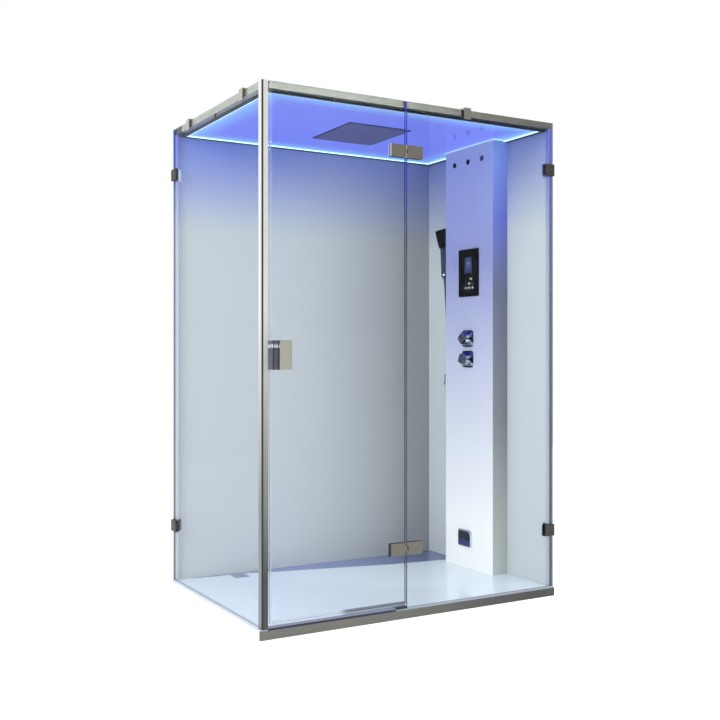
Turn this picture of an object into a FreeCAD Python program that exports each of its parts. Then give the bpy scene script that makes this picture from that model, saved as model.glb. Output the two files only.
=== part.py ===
"""Steam shower cabin: a low tray, a corner post with two header rails, clear glass on the
left and in front with a hinged door, painted panels behind and on the right, a lit ceiling
with a rain head, and a service column with controls, steam outlet and hand shower.

Millimetres. +Z is up, the front faces -Y, and +X is to the right for someone in front.
The origin is on the floor, on the axis of the waste outlet at the tray's centre.
"""
import FreeCAD, Part
import math
import os

from FreeCAD import Vector as V

os.makedirs("parts", exist_ok=True)

# ---------------------------------------------------------------- driving sizes
# Tray
tray_w = 1500.0
tray_d = 1030.0
tray_h = 41.0
dish_depth = 10.0          # fall from the rim to the drain recess
dish_rim = 46.0            # flat rim between the cabin's outer face and the dish
tray_corner_r = 4.0
plinth_t = 2.0             # steel strip on the tray's front
plinth_drop = 5.0          # the strip ends this far under the tray's top

# Cabin on the tray
cabin_h = 2200.0           # floor to the top of the header rails
inset_left = 12.0
inset_right = 4.0
inset_front = 3.0
inset_rear = 2.0
glass_t = 8.0
lip_t = 2.0                # outer lip of post and sills in front of the glass
panel_t = 10.0             # painted back and right panels
pad = 0.6                  # tape or silicone between glass and metal
gap = 0.3                  # between separate rigid pieces
run_gap = 0.4              # between moving pieces that don't bear on each other

# Corner post, header rails and their fittings
post_w = 26.0              # seen from the front
post_d = 34.0              # seen from the left
post_box_d = 26.0          # closed part of the post, in front of the glass slot
wall_t = 2.0               # wall of the post and the rails
gasket_w = 6.0             # black gasket in the post's outer corner
header_h = 27.0
header_d = 30.0
end_bracket_l = 90.0       # dark end piece of the left rail
spigot_l = 22.0
clip_l = 36.0
clip_h = 50.0
clip_rise = 10.0           # how far a clip stands above the rail
clip_t = 5.0
clip_left_front_y = 205.0  # clip centres, from the cabin's front or left face
clip_left_rear_y = 820.0
clip_front_x = 991.0
bumper_w = 9.0
bumper_drop = 18.0
bumper_door_x = 326.0
bumper_left_y = 517.0
channel_w = 8.0            # slim upright channels at the two panel corners
channel_d = 22.0
channel_t = 2.0
sill_h = 4.0

# Door
hinge_x = 672.0            # hinge axis, from the cabin's left face
joint_gap = 10.0           # between the door glass and the fixed glass
strike_w = 3.0             # magnetic strip on the post
seal_reach = 5.0           # magnetic strip on the door, from the glass edge
seal_leg = 10.0
seal_t = 1.0
threshold_h = 10.0
threshold_d = 16.0
threshold_flat = 6.0       # width of its top
end_block_l = 60.0
end_block_h = 12.0
drip_h = 9.0               # wiper under the door glass
hinge_leaf_w = 73.0
hinge_leaf_h = 54.0
hinge_leaf_t = 8.0
hinge_split = 7.0          # hinge axis to the end of a leaf
hinge_stud_r = 4.0
hinge_stud_pitch = 28.0
pin_r = 2.2
pin_fit = 0.05
hinge_low_z = 296.0
hinge_high_drop = 215.0    # upper hinge, under the cabin's top
handle_w = 54.0
handle_h = 117.0
handle_d = 52.0
handle_x = 53.5
handle_z = 1119.0
handle_wall = 4.0
handle_edge = 1.5
handle_stud_r = 4.0
handle_stud_pitch = 60.0

# Corner clamps between glass and panels
clamp_w = 55.0
clamp_h = 53.0
clamp_t = 7.0
clamp_left_w = 60.0        # outer plates on the left glass
clamp_left_t = 12.0
clamp_back_w = 38.0        # inner legs on the back panel, from the cabin's left face
clamp_side_t = 4.0
clamp_inner_t = 6.0
clamp_low_z = 306.0
clamp_high_drop = 220.0    # upper clamps, under the cabin's top
clamp_screw_r = 2.5
clamp_screw_in = 37.0      # screw axis, from the corner
clamp_back_in = 27.0       # the same on the back panel
clamp_screw_gap = 0.05
clamp_head_r = 5.0

# Ceiling
ceiling_t = 5.0
trim_w = 16.0
trim_h = 6.0
led_w = 8.0
led_t = 3.0
roof_t = 3.0
roof_drop = 1.0            # roof top under the header's top

# Rain head
rain_w = 331.0
rain_d = 374.0
rain_x = 762.0             # centre, from the cabin's left face
rain_y = 541.0             # centre, from the cabin's front face
rain_t = 3.0
rain_border = 20.0
rain_cols = 11
rain_rows = 13
rain_tip_r = 3.0
rain_tip_h = 2.0
rain_box_inset = 12.0
rain_box_h = 22.0
pipe_r = 6.5
pipe_bend = 26.0

# Service column on the right panel
column_w = 400.0
column_front = 327.0       # its front side, from the cabin's front face
column_proud = 91.0        # from the right panel's face to the column's face
column_t = 3.0
column_edge_r = 4.0
rail_w = 30.0
rail_t = 12.0

nozzle_drop = 75.0         # jets, under the ceiling
nozzle_pitch = 115.0
nozzle_r = 13.5
nozzle_out = 8.0
nozzle_first = 87.0        # first nozzle, from the column's front side
nozzle_stem_r = 5.0

control_w = 165.0
control_h = 240.0
control_t = 6.0
control_y = 193.0          # centres along the column, from its front side
control_z = 1536.0
screen_w = 57.0
screen_h = 82.0
screen_up = 39.0           # screen centre above the panel's centre
inlay_t = 1.0
key_r = 4.6
key_pitch_y = 29.0
key_pitch_z = 22.0
key_low = 76.0             # lowest row of keys under the panel's centre
key_shift = 8.0            # the keys' middle, from the panel's centre to the front
control_box_w = 150.0
control_box_h = 200.0
control_box_d = 32.0

valve_y = 199.0
valve_high_z = 1204.0
valve_pitch = 104.0        # lower tap, under the upper one
valve_base_w = 84.0        # square rose
valve_base_r = 18.0        # its corners
valve_base_t = 12.0
valve_base_edge = 3.0
valve_barrel_r = 31.0
valve_nose_r = 26.0
valve_barrel_l = 19.0
valve_neck_r = 17.0
valve_bore_r = 5.05
valve_neck_l = 47.0        # neck behind the column's face
spindle_r = 5.0
spindle_l = 22.0
knob_side = 46.0
knob_corner_r = 9.0
knob_t = 14.0
knob_edge = 1.5
knob_off = 1.0             # between the nose and the knob
knob_high_turn = 45.0
knob_low_turn = 22.0
mixer_w = 44.0
mixer_d = 40.0
mixer_over = 30.0          # mixer block past the outer valve axes

inlet_r = 10.5             # half-inch male thread
inlet_bore_r = 7.5
inlet_out = 18.0           # stub outside the right panel
inlet_pitch = 150.0

outlet_w = 108.0
outlet_h = 84.0
outlet_t = 12.0
outlet_corner_r = 12.0
outlet_big_r = 30.0
outlet_wall = 2.5
outlet_rim = 6.0
outlet_y = 220.0
outlet_z = 191.0
steam_r = 11.0
steam_bore_r = 9.0
generator_w = 300.0
generator_d = 54.0
generator_h = 230.0
generator_z = 330.0        # its underside

# Hand shower on the column's rear side
tilt = 4.0                 # degrees, the head leans away from the column
cradle_x = 40.0            # from the column's face
cradle_out = 63.0          # from the column's rear side
cradle_z = 1528.0          # underside of the handset's tail
cradle_r = 18.0
cradle_h = 26.0
cradle_low = 6.0           # cradle above the tail's underside
tail_r = 10.0
tail_top_r = 13.0
tail_l = 36.0
grip_w = 40.0
grip_d = 21.0
grip_l = 131.0
head_low_w = 70.0
head_top_w = 130.0
head_h = 96.0
head_t = 15.0
head_edge = 2.0
face_inset = 5.0
face_t = 2.0
spray_r = 1.6
spray_h = 0.8
spray_rows = 6
spray_cols = 5
nut_r = 9.0
nut_l = 20.0

elbow_x = 18.0             # from the column's face
elbow_out = 20.0
elbow_z = 1010.0
elbow_r = 9.0
elbow_rosette_r = 16.0
elbow_rosette_t = 5.0
elbow_drop = 24.0

hose_r = 5.5
hose_way = [(1423.0, 783.0, 1428.2),      # from the cabin's left and front faces
            (1427.0, 780.5, 1333.8),
            (1431.5, 781.5, 1229.4),
            (1435.0, 783.0, 1120.0),
            (1438.5, 786.5, 1010.6),
            (1442.0, 793.0, 901.2),
            (1444.5, 800.0, 791.8),
            (1446.0, 805.0, 692.4),
            (1447.4, 806.6, 591.0),
            (1447.0, 806.0, 530.7),       # four like bends make the loop's foot
            (1433.5, 788.1, 508.4),
            (1414.5, 762.9, 508.4),
            (1401.0, 745.0, 530.7),
            (1400.6, 744.6, 591.0),
            (1401.4, 745.8, 692.4),
            (1400.6, 746.6, 791.8),
            (1401.3, 747.3, 886.3)]

# Waste
drain_w = 138.0
drain_d = 166.0
drain_recess = 8.0
drain_plate_t = 3.0
drain_gap = 1.5
drain_foot_r = 5.0
waste_r = 45.0
waste_wall = 4.0
waste_flange_r = 62.0
waste_flange_t = 3.0

# ---------------------------------------------------------------- derived places
left_x = -tray_w / 2 + inset_left
right_x = tray_w / 2 - inset_right
front_y = -tray_d / 2 + inset_front
rear_y = tray_d / 2 - inset_rear
glass_out_x = left_x + lip_t               # outer face of the left glass
glass_in_x = glass_out_x + glass_t
glass_out_y = front_y + lip_t              # outer face of the front glass
glass_in_y = glass_out_y + glass_t
back_face_y = rear_y - panel_t             # room side of the back panel
right_face_x = right_x - panel_t           # room side of the right panel
header_z = cabin_h - header_h              # underside of the rails
rail_front_y = glass_in_y + pad            # front face of the front rail
rail_back_y = rail_front_y + header_d
rail_left_x = glass_in_x + pad
rail_right_x = rail_left_x + header_d
hinge_high_z = cabin_h - hinge_high_drop
clamp_high_z = cabin_h - clamp_high_drop
nozzle_z = header_z - nozzle_drop
valve_low_z = valve_high_z - valve_pitch
axis_x = left_x + hinge_x
axis_y = glass_out_y - hinge_leaf_t / 2
door_edge_x = axis_x - joint_gap / 2
fixed_edge_x = axis_x + joint_gap / 2
strike_x = left_x + post_w + strike_w
door_free_x = strike_x + run_gap + seal_reach
glass_foot_z = tray_h + lip_t              # underside of the fixed panes
door_foot_z = tray_h + end_block_h + run_gap + drip_h
column_x = right_face_x - column_proud
column_y0 = front_y + column_front
column_y1 = column_y0 + column_w
ceiling_z = header_z
rain_cx = left_x + rain_x
rain_cy = front_y + rain_y
valve_cy = column_y0 + valve_y
roof_z = cabin_h - roof_drop
pipe_z = ceiling_z + ceiling_t + (roof_z - roof_t - ceiling_z - ceiling_t) / 2
riser_x = right_face_x - rail_t - pipe_r - 4.0
dish_z = tray_h - dish_depth
recess_z = dish_z - drain_recess
channel_foot_z = tray_h + sill_h + gap
mixer_z = (valve_high_z + valve_low_z) / 2
mixer_x = column_x + column_t + valve_neck_l
tail_base = V(column_x + cradle_x, column_y1 + cradle_out, cradle_z)
lean = V(0, math.sin(math.radians(tilt)), math.cos(math.radians(tilt)))
elbow_top = V(column_x + elbow_x, column_y1 + elbow_out, elbow_z)
nozzle_ys = [column_y0 + nozzle_first + i * nozzle_pitch for i in range(3)]


# ---------------------------------------------------------------- small helpers
def box(x0, x1, y0, y1, z0, z1):
    """A box between two corners."""
    return Part.makeBox(x1 - x0, y1 - y0, z1 - z0, V(x0, y0, z0))


def rod(radius, start, end):
    """A round bar from one point to another."""
    run = end - start
    return Part.makeCylinder(radius, run.Length, start, run)


def prism(points, run):
    """A polygon, drawn with its own points, swept along a vector."""
    return Part.Face(Part.makePolygon(points + [points[0]])).extrude(run)


def rounded_outline(w, h, radii, centre, across, up):
    """A rounded rectangle; the radii run from its low left corner round to its top left."""
    ways = [across, up, across * -1, up * -1]
    corners = [(-1, -1), (1, -1), (1, 1), (-1, 1)]
    arcs = []
    for i, ((sx, sy), radius) in enumerate(zip(corners, radii)):
        corner = centre + across * (sx * w / 2) + up * (sy * h / 2)
        way_in = ways[i - 1]
        way_out = ways[i]
        middle = corner + (way_out - way_in) * (radius * (1 - math.sqrt(0.5)))
        arcs.append((corner - way_in * radius, middle, corner + way_out * radius))
    edges = []
    for i, (first, middle, last) in enumerate(arcs):
        edges.append(Part.Arc(first, middle, last).toShape())
        edges.append(Part.LineSegment(last, arcs[(i + 1) % 4][0]).toShape())
    return Part.Wire(edges)


def rounded_slab(w, h, radius, centre, across, up, run):
    """A slab with four equal round corners."""
    return Part.Face(rounded_outline(w, h, [radius] * 4, centre, across, up)).extrude(run)


def revolve(profile, base, axis):
    """Turns a profile of (along, radius) points about an axis."""
    side = V(0, 0, 1) if abs(axis.z) < 0.5 else V(1, 0, 0)
    points = [base + axis * along + side * radius for along, radius in profile]
    return Part.Face(Part.makePolygon(points + [points[0]])).revolve(base, axis, 360)


def soften(shape, radius, wanted):
    """Rounds the edges that a test picks."""
    return shape.makeFillet(radius, [edge for edge in shape.Edges if wanted(edge)])


def tip(foot, way, radius, height):
    """A small six-sided tapered tip, rooted just under the face that it stands on."""
    side = V(1, 0, 0) if abs(way.x) < 0.5 else V(0, 1, 0)
    other = way.cross(side)
    rings = []
    for along, r in ((-height / 4, radius), (height, radius * 0.7)):
        ring = [foot + way * along + side * (r * math.cos(i * math.pi / 3))
                + other * (r * math.sin(i * math.pi / 3)) for i in range(6)]
        rings.append(Part.makePolygon(ring + [ring[0]]))
    return Part.makeLoft(rings, True, True)


def upright(edge):
    """True for a straight edge along Z."""
    ends = [vertex.Point for vertex in edge.Vertexes]
    return len(ends) == 2 and abs(ends[0].x - ends[1].x) + abs(ends[0].y - ends[1].y) < 1e-6


def group(shapes):
    """Separate solids in one file."""
    return Part.makeCompound(shapes)


def export(name, shape):
    """Writes one piece, or one group of like pieces, to its own file."""
    shape.exportStep("parts/" + name + ".step")


def bent_path(points, radii):
    """Straight runs joined by tangent arcs, one arc at each inner point."""
    edges = []
    start = points[0]
    for i in range(1, len(points) - 1):
        back = (points[i - 1] - points[i]).normalize()
        ahead = (points[i + 1] - points[i]).normalize()
        half_turn = (math.pi - back.getAngle(ahead)) / 2
        reach = radii[i - 1] * math.tan(half_turn)
        first = points[i] + back * reach
        last = points[i] + ahead * reach
        inward = (back + ahead).normalize()
        centre_off = radii[i - 1] / math.cos(half_turn)
        middle = points[i] + inward * (centre_off - radii[i - 1])
        edges.append(Part.LineSegment(start, first).toShape())
        edges.append(Part.Arc(first, middle, last).toShape())
        start = last
    edges.append(Part.LineSegment(start, points[-1]).toShape())
    return Part.Wire(edges)


def bent_tube(radius, points, radii):
    """A round bar swept along a bent path."""
    path = bent_path(points, radii)
    ring = Part.Wire(Part.makeCircle(radius, points[0], points[1] - points[0]))
    return path.makePipeShell([ring], True, False)


# ---------------------------------------------------------------- tray and waste
def drain_area(grow, z):
    """The waste cover's outline at a height, grown by a margin all round."""
    w = drain_w / 2 + grow
    d = drain_d / 2 + grow
    return [V(-w, -d, z), V(w, -d, z), V(w, d, z), V(-w, d, z)]


def tray():
    """A low slab, dished to the waste, with a flat rim for the walls and the column."""
    body = box(-tray_w / 2, tray_w / 2, -tray_d / 2 + plinth_t, tray_d / 2, 0, tray_h)
    body = soften(body, tray_corner_r, lambda e: upright(e) and e.Vertexes[0].Point.y > 0)
    x0 = left_x + dish_rim
    x1 = column_x - dish_rim / 2
    y0 = front_y + dish_rim
    y1 = rear_y - dish_rim
    top = Part.makePolygon([V(x0, y0, tray_h), V(x1, y0, tray_h), V(x1, y1, tray_h),
                            V(x0, y1, tray_h), V(x0, y0, tray_h)])
    low = drain_area(drain_gap, dish_z)
    dish = Part.makeLoft([top, Part.makePolygon(low + [low[0]])], True, True)
    recess = prism(drain_area(drain_gap, recess_z), V(0, 0, drain_recess + dish_depth))
    hole = rod(waste_r + waste_wall + gap, V(0, 0, -1), V(0, 0, tray_h))
    seat = rod(waste_flange_r + gap, V(0, 0, recess_z - waste_flange_t), V(0, 0, tray_h))
    return body.cut(dish).cut(recess).cut(hole).cut(seat)


def plinth_strip():
    """The steel strip that faces the tray's front edge."""
    top = tray_h - plinth_drop
    return box(-tray_w / 2, tray_w / 2, -tray_d / 2, -tray_d / 2 + plinth_t, 0, top)


def drain_body():
    """A flanged sleeve; the trap's pipe enters its bore from below."""
    flange_z = recess_z - waste_flange_t
    sleeve = rod(waste_r + waste_wall, V(0, 0, 0), V(0, 0, flange_z))
    flange = rod(waste_flange_r, V(0, 0, flange_z), V(0, 0, recess_z))
    bore = rod(waste_r, V(0, 0, -1), V(0, 0, recess_z + 1))
    return sleeve.fuse(flange).cut(bore)


def drain_cover():
    """A flat plate on four feet that lifts out of the recess."""
    top = dish_z - 0.5
    plate = prism(drain_area(0, top - drain_plate_t), V(0, 0, drain_plate_t))
    plate = soften(plate, 3.0, upright)
    foot_x = drain_w / 2 - drain_foot_r - 2
    foot_y = drain_d / 2 - drain_foot_r - 2
    for sx in (-1, 1):
        for sy in (-1, 1):
            foot = V(sx * foot_x, sy * foot_y, recess_z + gap)
            plate = plate.fuse(rod(drain_foot_r, foot, V(foot.x, foot.y, top - 1)))
    return plate


# ---------------------------------------------------------------- metal frame
def corner_post():
    """A box extrusion with a slot behind it for the left glass and a groove at its corner."""
    x1 = left_x + post_w
    box_y = front_y + post_box_d
    post = box(left_x, x1, front_y, box_y, tray_h, cabin_h)
    hollow = box(left_x + gasket_w + wall_t, x1 - wall_t, front_y + gasket_w + wall_t,
                 box_y - wall_t, tray_h - 1, cabin_h - wall_t)
    groove = box(left_x - 1, left_x + gasket_w, front_y - 1, front_y + gasket_w,
                 tray_h - 1, cabin_h + 1)
    lip_end = front_y + post_d
    outer_lip = box(left_x, glass_out_x - gap, box_y, lip_end, tray_h, cabin_h)
    inner_x = glass_in_x + gap
    inner_lip = box(inner_x, inner_x + wall_t, box_y, lip_end, tray_h, header_z)
    return post.cut(hollow).cut(groove).fuse(outer_lip).fuse(inner_lip)


def corner_gasket():
    """The black strip that fills the post's outer corner from tray to top."""
    x1 = left_x + gasket_w - gap / 2
    y1 = front_y + gasket_w - gap / 2
    strip = box(left_x, x1, front_y, y1, tray_h, cabin_h)
    outer = [e for e in strip.Edges if upright(e) and abs(e.Vertexes[0].Point.x - left_x) < 1e-6
             and abs(e.Vertexes[0].Point.y - front_y) < 1e-6]
    return strip.makeFillet(gasket_w / 4, outer)


def rail(x0, x1, y0, y1, along):
    """A closed rectangular rail, hollow along its length and open at the ends."""
    body = box(x0, x1, y0, y1, header_z, cabin_h)
    if along == "x":
        core = box(x0 - 1, x1 + 1, y0 + wall_t, y1 - wall_t, header_z + wall_t, cabin_h - wall_t)
    else:
        core = box(x0 + wall_t, x1 - wall_t, y0 - 1, y1 + 1, header_z + wall_t, cabin_h - wall_t)
    return body.cut(core)


def header_front():
    """The rail behind the door's and the fixed pane's top edge."""
    return rail(left_x + post_w, right_face_x, rail_front_y, rail_back_y, "x")


def header_left():
    """The rail behind the left glass, up to its end bracket."""
    return rail(rail_left_x, rail_right_x, rail_back_y, back_face_y - end_bracket_l, "y")


def header_end_bracket():
    """The dark block that ties the left rail to the back panel, with a spigot in the rail."""
    y0 = back_face_y - end_bracket_l
    block = box(rail_left_x, rail_right_x, y0, back_face_y, header_z, cabin_h)
    inside = wall_t + gap
    spigot = box(rail_left_x + inside, rail_right_x - inside, y0 - spigot_l, y0,
                 header_z + inside, cabin_h - inside)
    return block.fuse(spigot)


def clip(centre, outward, along):
    """A saddle over glass and rail: a leg outside the glass and a bridge over the rail."""
    glass_face = pad + glass_t + gap
    outer_face = pad + glass_t + clip_t
    inner_face = clip_t / 2 - header_d
    top = cabin_h + clip_rise
    low = top - clip_h
    under = cabin_h + gap
    outline = [(outer_face, low), (outer_face, top), (inner_face, top), (inner_face, under),
               (glass_face, under), (glass_face, low)]
    points = [centre + outward * u - along * (clip_l / 2) + V(0, 0, z) for u, z in outline]
    body = prism(points, along * clip_l)
    return soften(body, 1.2, lambda e: min(v.Point.z for v in e.Vertexes) > top - 0.1)


def header_clips():
    """Three like clips: two on the left rail, one on the front rail."""
    left = V(-1, 0, 0)
    front = V(0, -1, 0)
    return [clip(V(rail_left_x, front_y + clip_left_front_y, 0), left, V(0, 1, 0)),
            clip(V(rail_left_x, front_y + clip_left_rear_y, 0), left, V(0, 1, 0)),
            clip(V(left_x + clip_front_x, rail_front_y, 0), front, V(-1, 0, 0))]


def bumper(x, y):
    """A small rubber-faced stop that hangs under a rail."""
    half = bumper_w / 2
    block = box(x - half, x + half, y - half, y + half, header_z - bumper_drop, header_z)
    return soften(block, 1.5, upright)


def bumpers():
    """One stop behind the door, one in the middle of the left glass."""
    door_y = rail_front_y + bumper_w / 2
    side_x = rail_left_x + bumper_w / 2
    return [bumper(left_x + bumper_door_x, door_y), bumper(side_x, front_y + bumper_left_y)]


def clamp_rooms(x0, x1, y0, y1):
    """The two spaces that a corner's clamps need, as boxes."""
    half = clamp_h / 2 + gap
    return [box(x0, x1, y0, y1, z - half, z + half) for z in (clamp_low_z, clamp_high_z)]


def rear_channel():
    """Dark channel in the corner of left glass and back panel, in lengths between clamps."""
    x0 = glass_in_x + gap
    x1 = x0 + channel_w
    y0 = back_face_y - channel_d
    body = box(x0, x1, y0, back_face_y, channel_foot_z, header_z)
    body = body.cut(box(x0 + channel_t, x1 + 1, y0 + channel_t, back_face_y - channel_t,
                        tray_h, header_z + 1))
    for room in clamp_rooms(x0 - 1, x1 + 1, y0 - 1, back_face_y + 1):
        body = body.cut(room)
    return body


def right_channel():
    """Pale channel in the corner of fixed pane and right panel, in lengths between clamps."""
    x0 = right_face_x - channel_w
    y0 = glass_in_y + gap
    y1 = y0 + channel_d
    body = box(x0, right_face_x, y0, y1, channel_foot_z, header_z)
    body = body.cut(box(x0 + channel_t, right_face_x - channel_t, y0 + channel_t, y1 + 1,
                        tray_h, header_z + 1))
    for room in clamp_rooms(x0 - 1, right_face_x + 1, y0 - 1, y1 + 1):
        body = body.cut(room)
    return body


def sills():
    """The channels that the left glass and the fixed pane stand in."""
    top = tray_h + sill_h
    inner = glass_t + 2 * gap + 2 * lip_t
    y0 = front_y + gap
    left = box(left_x, left_x + inner, front_y + post_d, back_face_y, tray_h, top)
    left = left.cut(box(left_x + lip_t - gap, left_x + lip_t + glass_t + gap,
                        front_y + post_d - 1, back_face_y + 1, tray_h + lip_t - gap, top + 1))
    x0 = fixed_edge_x
    front = box(x0, right_x, front_y, front_y + inner, tray_h, top)
    front = front.cut(box(x0 - 1, right_x + 1, y0 + lip_t - 2 * gap, y0 + lip_t + glass_t,
                          tray_h + lip_t - gap, top + 1))
    front = front.cut(box(right_face_x - gap, right_x + 1, glass_in_y, rear_y, 0, top + 1))
    return [left, front]


# ---------------------------------------------------------------- glass and panels
def drilled(shape, axes, radius):
    """Drills one clearance hole for each axis, given as a pair of points."""
    for start, end in axes:
        shape = shape.cut(rod(radius, start, end))
    return shape


def left_screws():
    """Axes of the clamp screws through the left glass."""
    y = rear_y - clamp_screw_in
    return [(V(glass_out_x - clamp_left_t, y, z), V(glass_in_x + clamp_inner_t, y, z))
            for z in (clamp_low_z, clamp_high_z)]


def front_screws():
    """Axes of the clamp screws through the fixed pane."""
    x = right_x - clamp_screw_in
    return [(V(x, glass_out_y - clamp_t, z), V(x, glass_in_y + clamp_inner_t, z))
            for z in (clamp_low_z, clamp_high_z)]


def back_screws():
    """Axes of the clamp screws into the back panel."""
    x = left_x + clamp_back_in
    return [(V(x, back_face_y - clamp_inner_t, z), V(x, back_face_y + panel_t - 2, z))
            for z in (clamp_low_z, clamp_high_z)]


def side_screws():
    """Axes of the clamp screws into the right panel."""
    y = front_y + clamp_screw_in
    return [(V(right_face_x - clamp_inner_t, y, z), V(right_face_x + panel_t - 2, y, z))
            for z in (clamp_low_z, clamp_high_z)]


def hinge_studs(side):
    """Axes of a leaf's two studs at both hinges; side is -1 for the door, 1 for the pane."""
    axes = []
    for z in (hinge_low_z, hinge_high_z):
        for step in (-0.5, 0.5):
            x = axis_x + side * (hinge_split + hinge_leaf_w / 2) + step * hinge_stud_pitch
            axes.append((V(x, glass_out_y - hinge_leaf_t / 2, z),
                         V(x, glass_in_y + hinge_leaf_t / 2, z)))
    return axes


def handle_studs():
    """Axes of the two studs that join the handle's halves."""
    x = left_x + handle_x + handle_w / 2
    return [(V(x, glass_out_y - handle_d / 2, handle_z + step * handle_stud_pitch),
             V(x, glass_in_y + handle_d / 2, handle_z + step * handle_stud_pitch))
            for step in (-0.5, 0.5)]


def left_glass():
    """Clear pane from the post's slot to the back panel."""
    pane = box(glass_out_x, glass_in_x, front_y + post_box_d + 1, back_face_y - gap,
               glass_foot_z, cabin_h)
    return drilled(pane, left_screws(), clamp_screw_r + 2)


def fixed_glass():
    """Clear front pane beside the door, over the right panel's end."""
    pane = box(fixed_edge_x, right_x, glass_out_y, glass_in_y, glass_foot_z, cabin_h)
    pane = drilled(pane, front_screws(), clamp_screw_r + 2)
    return drilled(pane, hinge_studs(1), hinge_stud_r + 1)


def back_panel():
    """Painted panel behind the whole cabin."""
    panel = box(left_x, right_x, back_face_y, rear_y, tray_h, cabin_h)
    return drilled(panel, back_screws(), clamp_screw_r + clamp_screw_gap)


def right_panel():
    """Painted panel on the right, with the two water inlets through it."""
    panel = box(right_face_x, right_x, glass_in_y + gap, back_face_y, tray_h, cabin_h)
    panel = drilled(panel, side_screws(), clamp_screw_r + clamp_screw_gap)
    for y in inlet_ys():
        panel = panel.cut(rod(inlet_r + 1, V(right_face_x - 1, y, mixer_z),
                              V(right_x + 1, y, mixer_z)))
    return panel


# ---------------------------------------------------------------- corner clamps
def screw(axis):
    """A countersunk screw along an axis; its head is flush with the start."""
    start, end = axis
    way = (end - start).normalize()
    shank = rod(clamp_screw_r, start, end)
    depth = clamp_head_r - clamp_screw_r
    head = Part.makeCone(clamp_head_r, clamp_screw_r, depth, start, way)
    return shank.fuse(head)


def screw_seat(axis):
    """The room that a screw needs: its countersunk head and a close hole."""
    start, end = axis
    way = (end - start).normalize()
    depth = clamp_head_r - clamp_screw_r
    room = clamp_screw_gap
    head = Part.makeCone(clamp_head_r + room, clamp_screw_r + room, depth, start, way)
    return rod(clamp_screw_r + room, start - way, end).fuse(head)


def clamps_outer():
    """Outer halves: stepped plates at the rear left, angles round the front right corner."""
    shapes = []
    half = clamp_h / 2
    for i, z in enumerate((clamp_low_z, clamp_high_z)):
        y0 = rear_y - clamp_left_w
        plate = box(glass_out_x - clamp_left_t, glass_out_x, y0, rear_y, z - half, z + half)
        step = box(left_x - gap, glass_out_x + 1, back_face_y - 2 * gap, rear_y + 1,
                   z - clamp_h, z + clamp_h)
        shapes.append(plate.cut(step).cut(screw_seat(left_screws()[i])))
        x1 = right_x + clamp_side_t
        front = box(right_x - clamp_w + clamp_side_t, x1, glass_out_y - clamp_t, glass_out_y,
                    z - half, z + half)
        side = box(right_x + gap, x1, glass_out_y - clamp_t, front_y + clamp_w,
                   z - half, z + half)
        shapes.append(front.fuse(side).removeSplitter().cut(screw_seat(front_screws()[i])))
    return shapes


def clamps_inner():
    """Inner halves: angles in the two corners of glass and panel."""
    shapes = []
    half = clamp_h / 2
    for i, z in enumerate((clamp_low_z, clamp_high_z)):
        x0 = glass_in_x
        plate = box(x0, x0 + clamp_inner_t, rear_y - clamp_w, back_face_y, z - half, z + half)
        leg = box(x0, left_x + clamp_back_w, back_face_y - clamp_inner_t, back_face_y,
                  z - half, z + half)
        shape = plate.fuse(leg).removeSplitter().cut(screw_seat(left_screws()[i]))
        shapes.append(shape.cut(screw_seat(back_screws()[i])))
        y0 = glass_in_y
        plate = box(right_x - clamp_w, right_face_x, y0, y0 + clamp_inner_t,
                    z - half, z + half)
        leg = box(right_face_x - clamp_inner_t, right_face_x, y0, front_y + clamp_w,
                  z - half, z + half)
        shape = plate.fuse(leg).removeSplitter().cut(screw_seat(front_screws()[i]))
        shapes.append(shape.cut(screw_seat(side_screws()[i])))
    return shapes


def clamp_screws():
    """The eight like screws of the clamps; the glass screws are the longer ones."""
    axes = left_screws() + front_screws() + back_screws() + side_screws()
    return [screw(axis) for axis in axes]


# ---------------------------------------------------------------- door
def door_glass():
    """Clear door pane."""
    pane = box(door_free_x, door_edge_x, glass_out_y, glass_in_y, door_foot_z, cabin_h)
    pane = drilled(pane, hinge_studs(-1), hinge_stud_r + 1)
    return drilled(pane, handle_studs(), handle_stud_r + 1)


def hinge_half(side, z):
    """Outer leaf of one hinge with its knuckles; side is -1 for the door, 1 for the pane."""
    half = hinge_leaf_h / 2
    third = hinge_leaf_h / 6
    near = axis_x + side * hinge_split
    far = near + side * hinge_leaf_w
    y0 = axis_y - hinge_leaf_t / 2
    y1 = axis_y + hinge_leaf_t / 2
    leaf = box(min(near, far), max(near, far), y0, y1, z - half, z + half)
    leaf = soften(leaf, 1.0, lambda e: all(abs(v.Point.y - y0) < 1e-6 for v in e.Vertexes)
                  and not all(abs(v.Point.x - near) < 1e-6 for v in e.Vertexes))
    if side < 0:
        spans = [(z - third + gap / 2, z + third - gap / 2)]
    else:
        spans = [(z - half, z - third - gap / 2), (z + third + gap / 2, z + half)]
    for low, high in spans:
        barrel = rod(hinge_leaf_t / 2, V(axis_x, axis_y, low), V(axis_x, axis_y, high))
        web = box(min(axis_x, near), max(axis_x, near), y0, y1, low, high)
        leaf = leaf.fuse(barrel).fuse(web)
    bore = pin_r if side < 0 else pin_r + pin_fit
    leaf = leaf.cut(rod(bore, V(axis_x, axis_y, z - half - 1), V(axis_x, axis_y, z + half + 1)))
    for start, end in hinge_studs(side):
        leaf = leaf.cut(rod(hinge_stud_r + 0.1, start, end))
    return leaf


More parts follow.
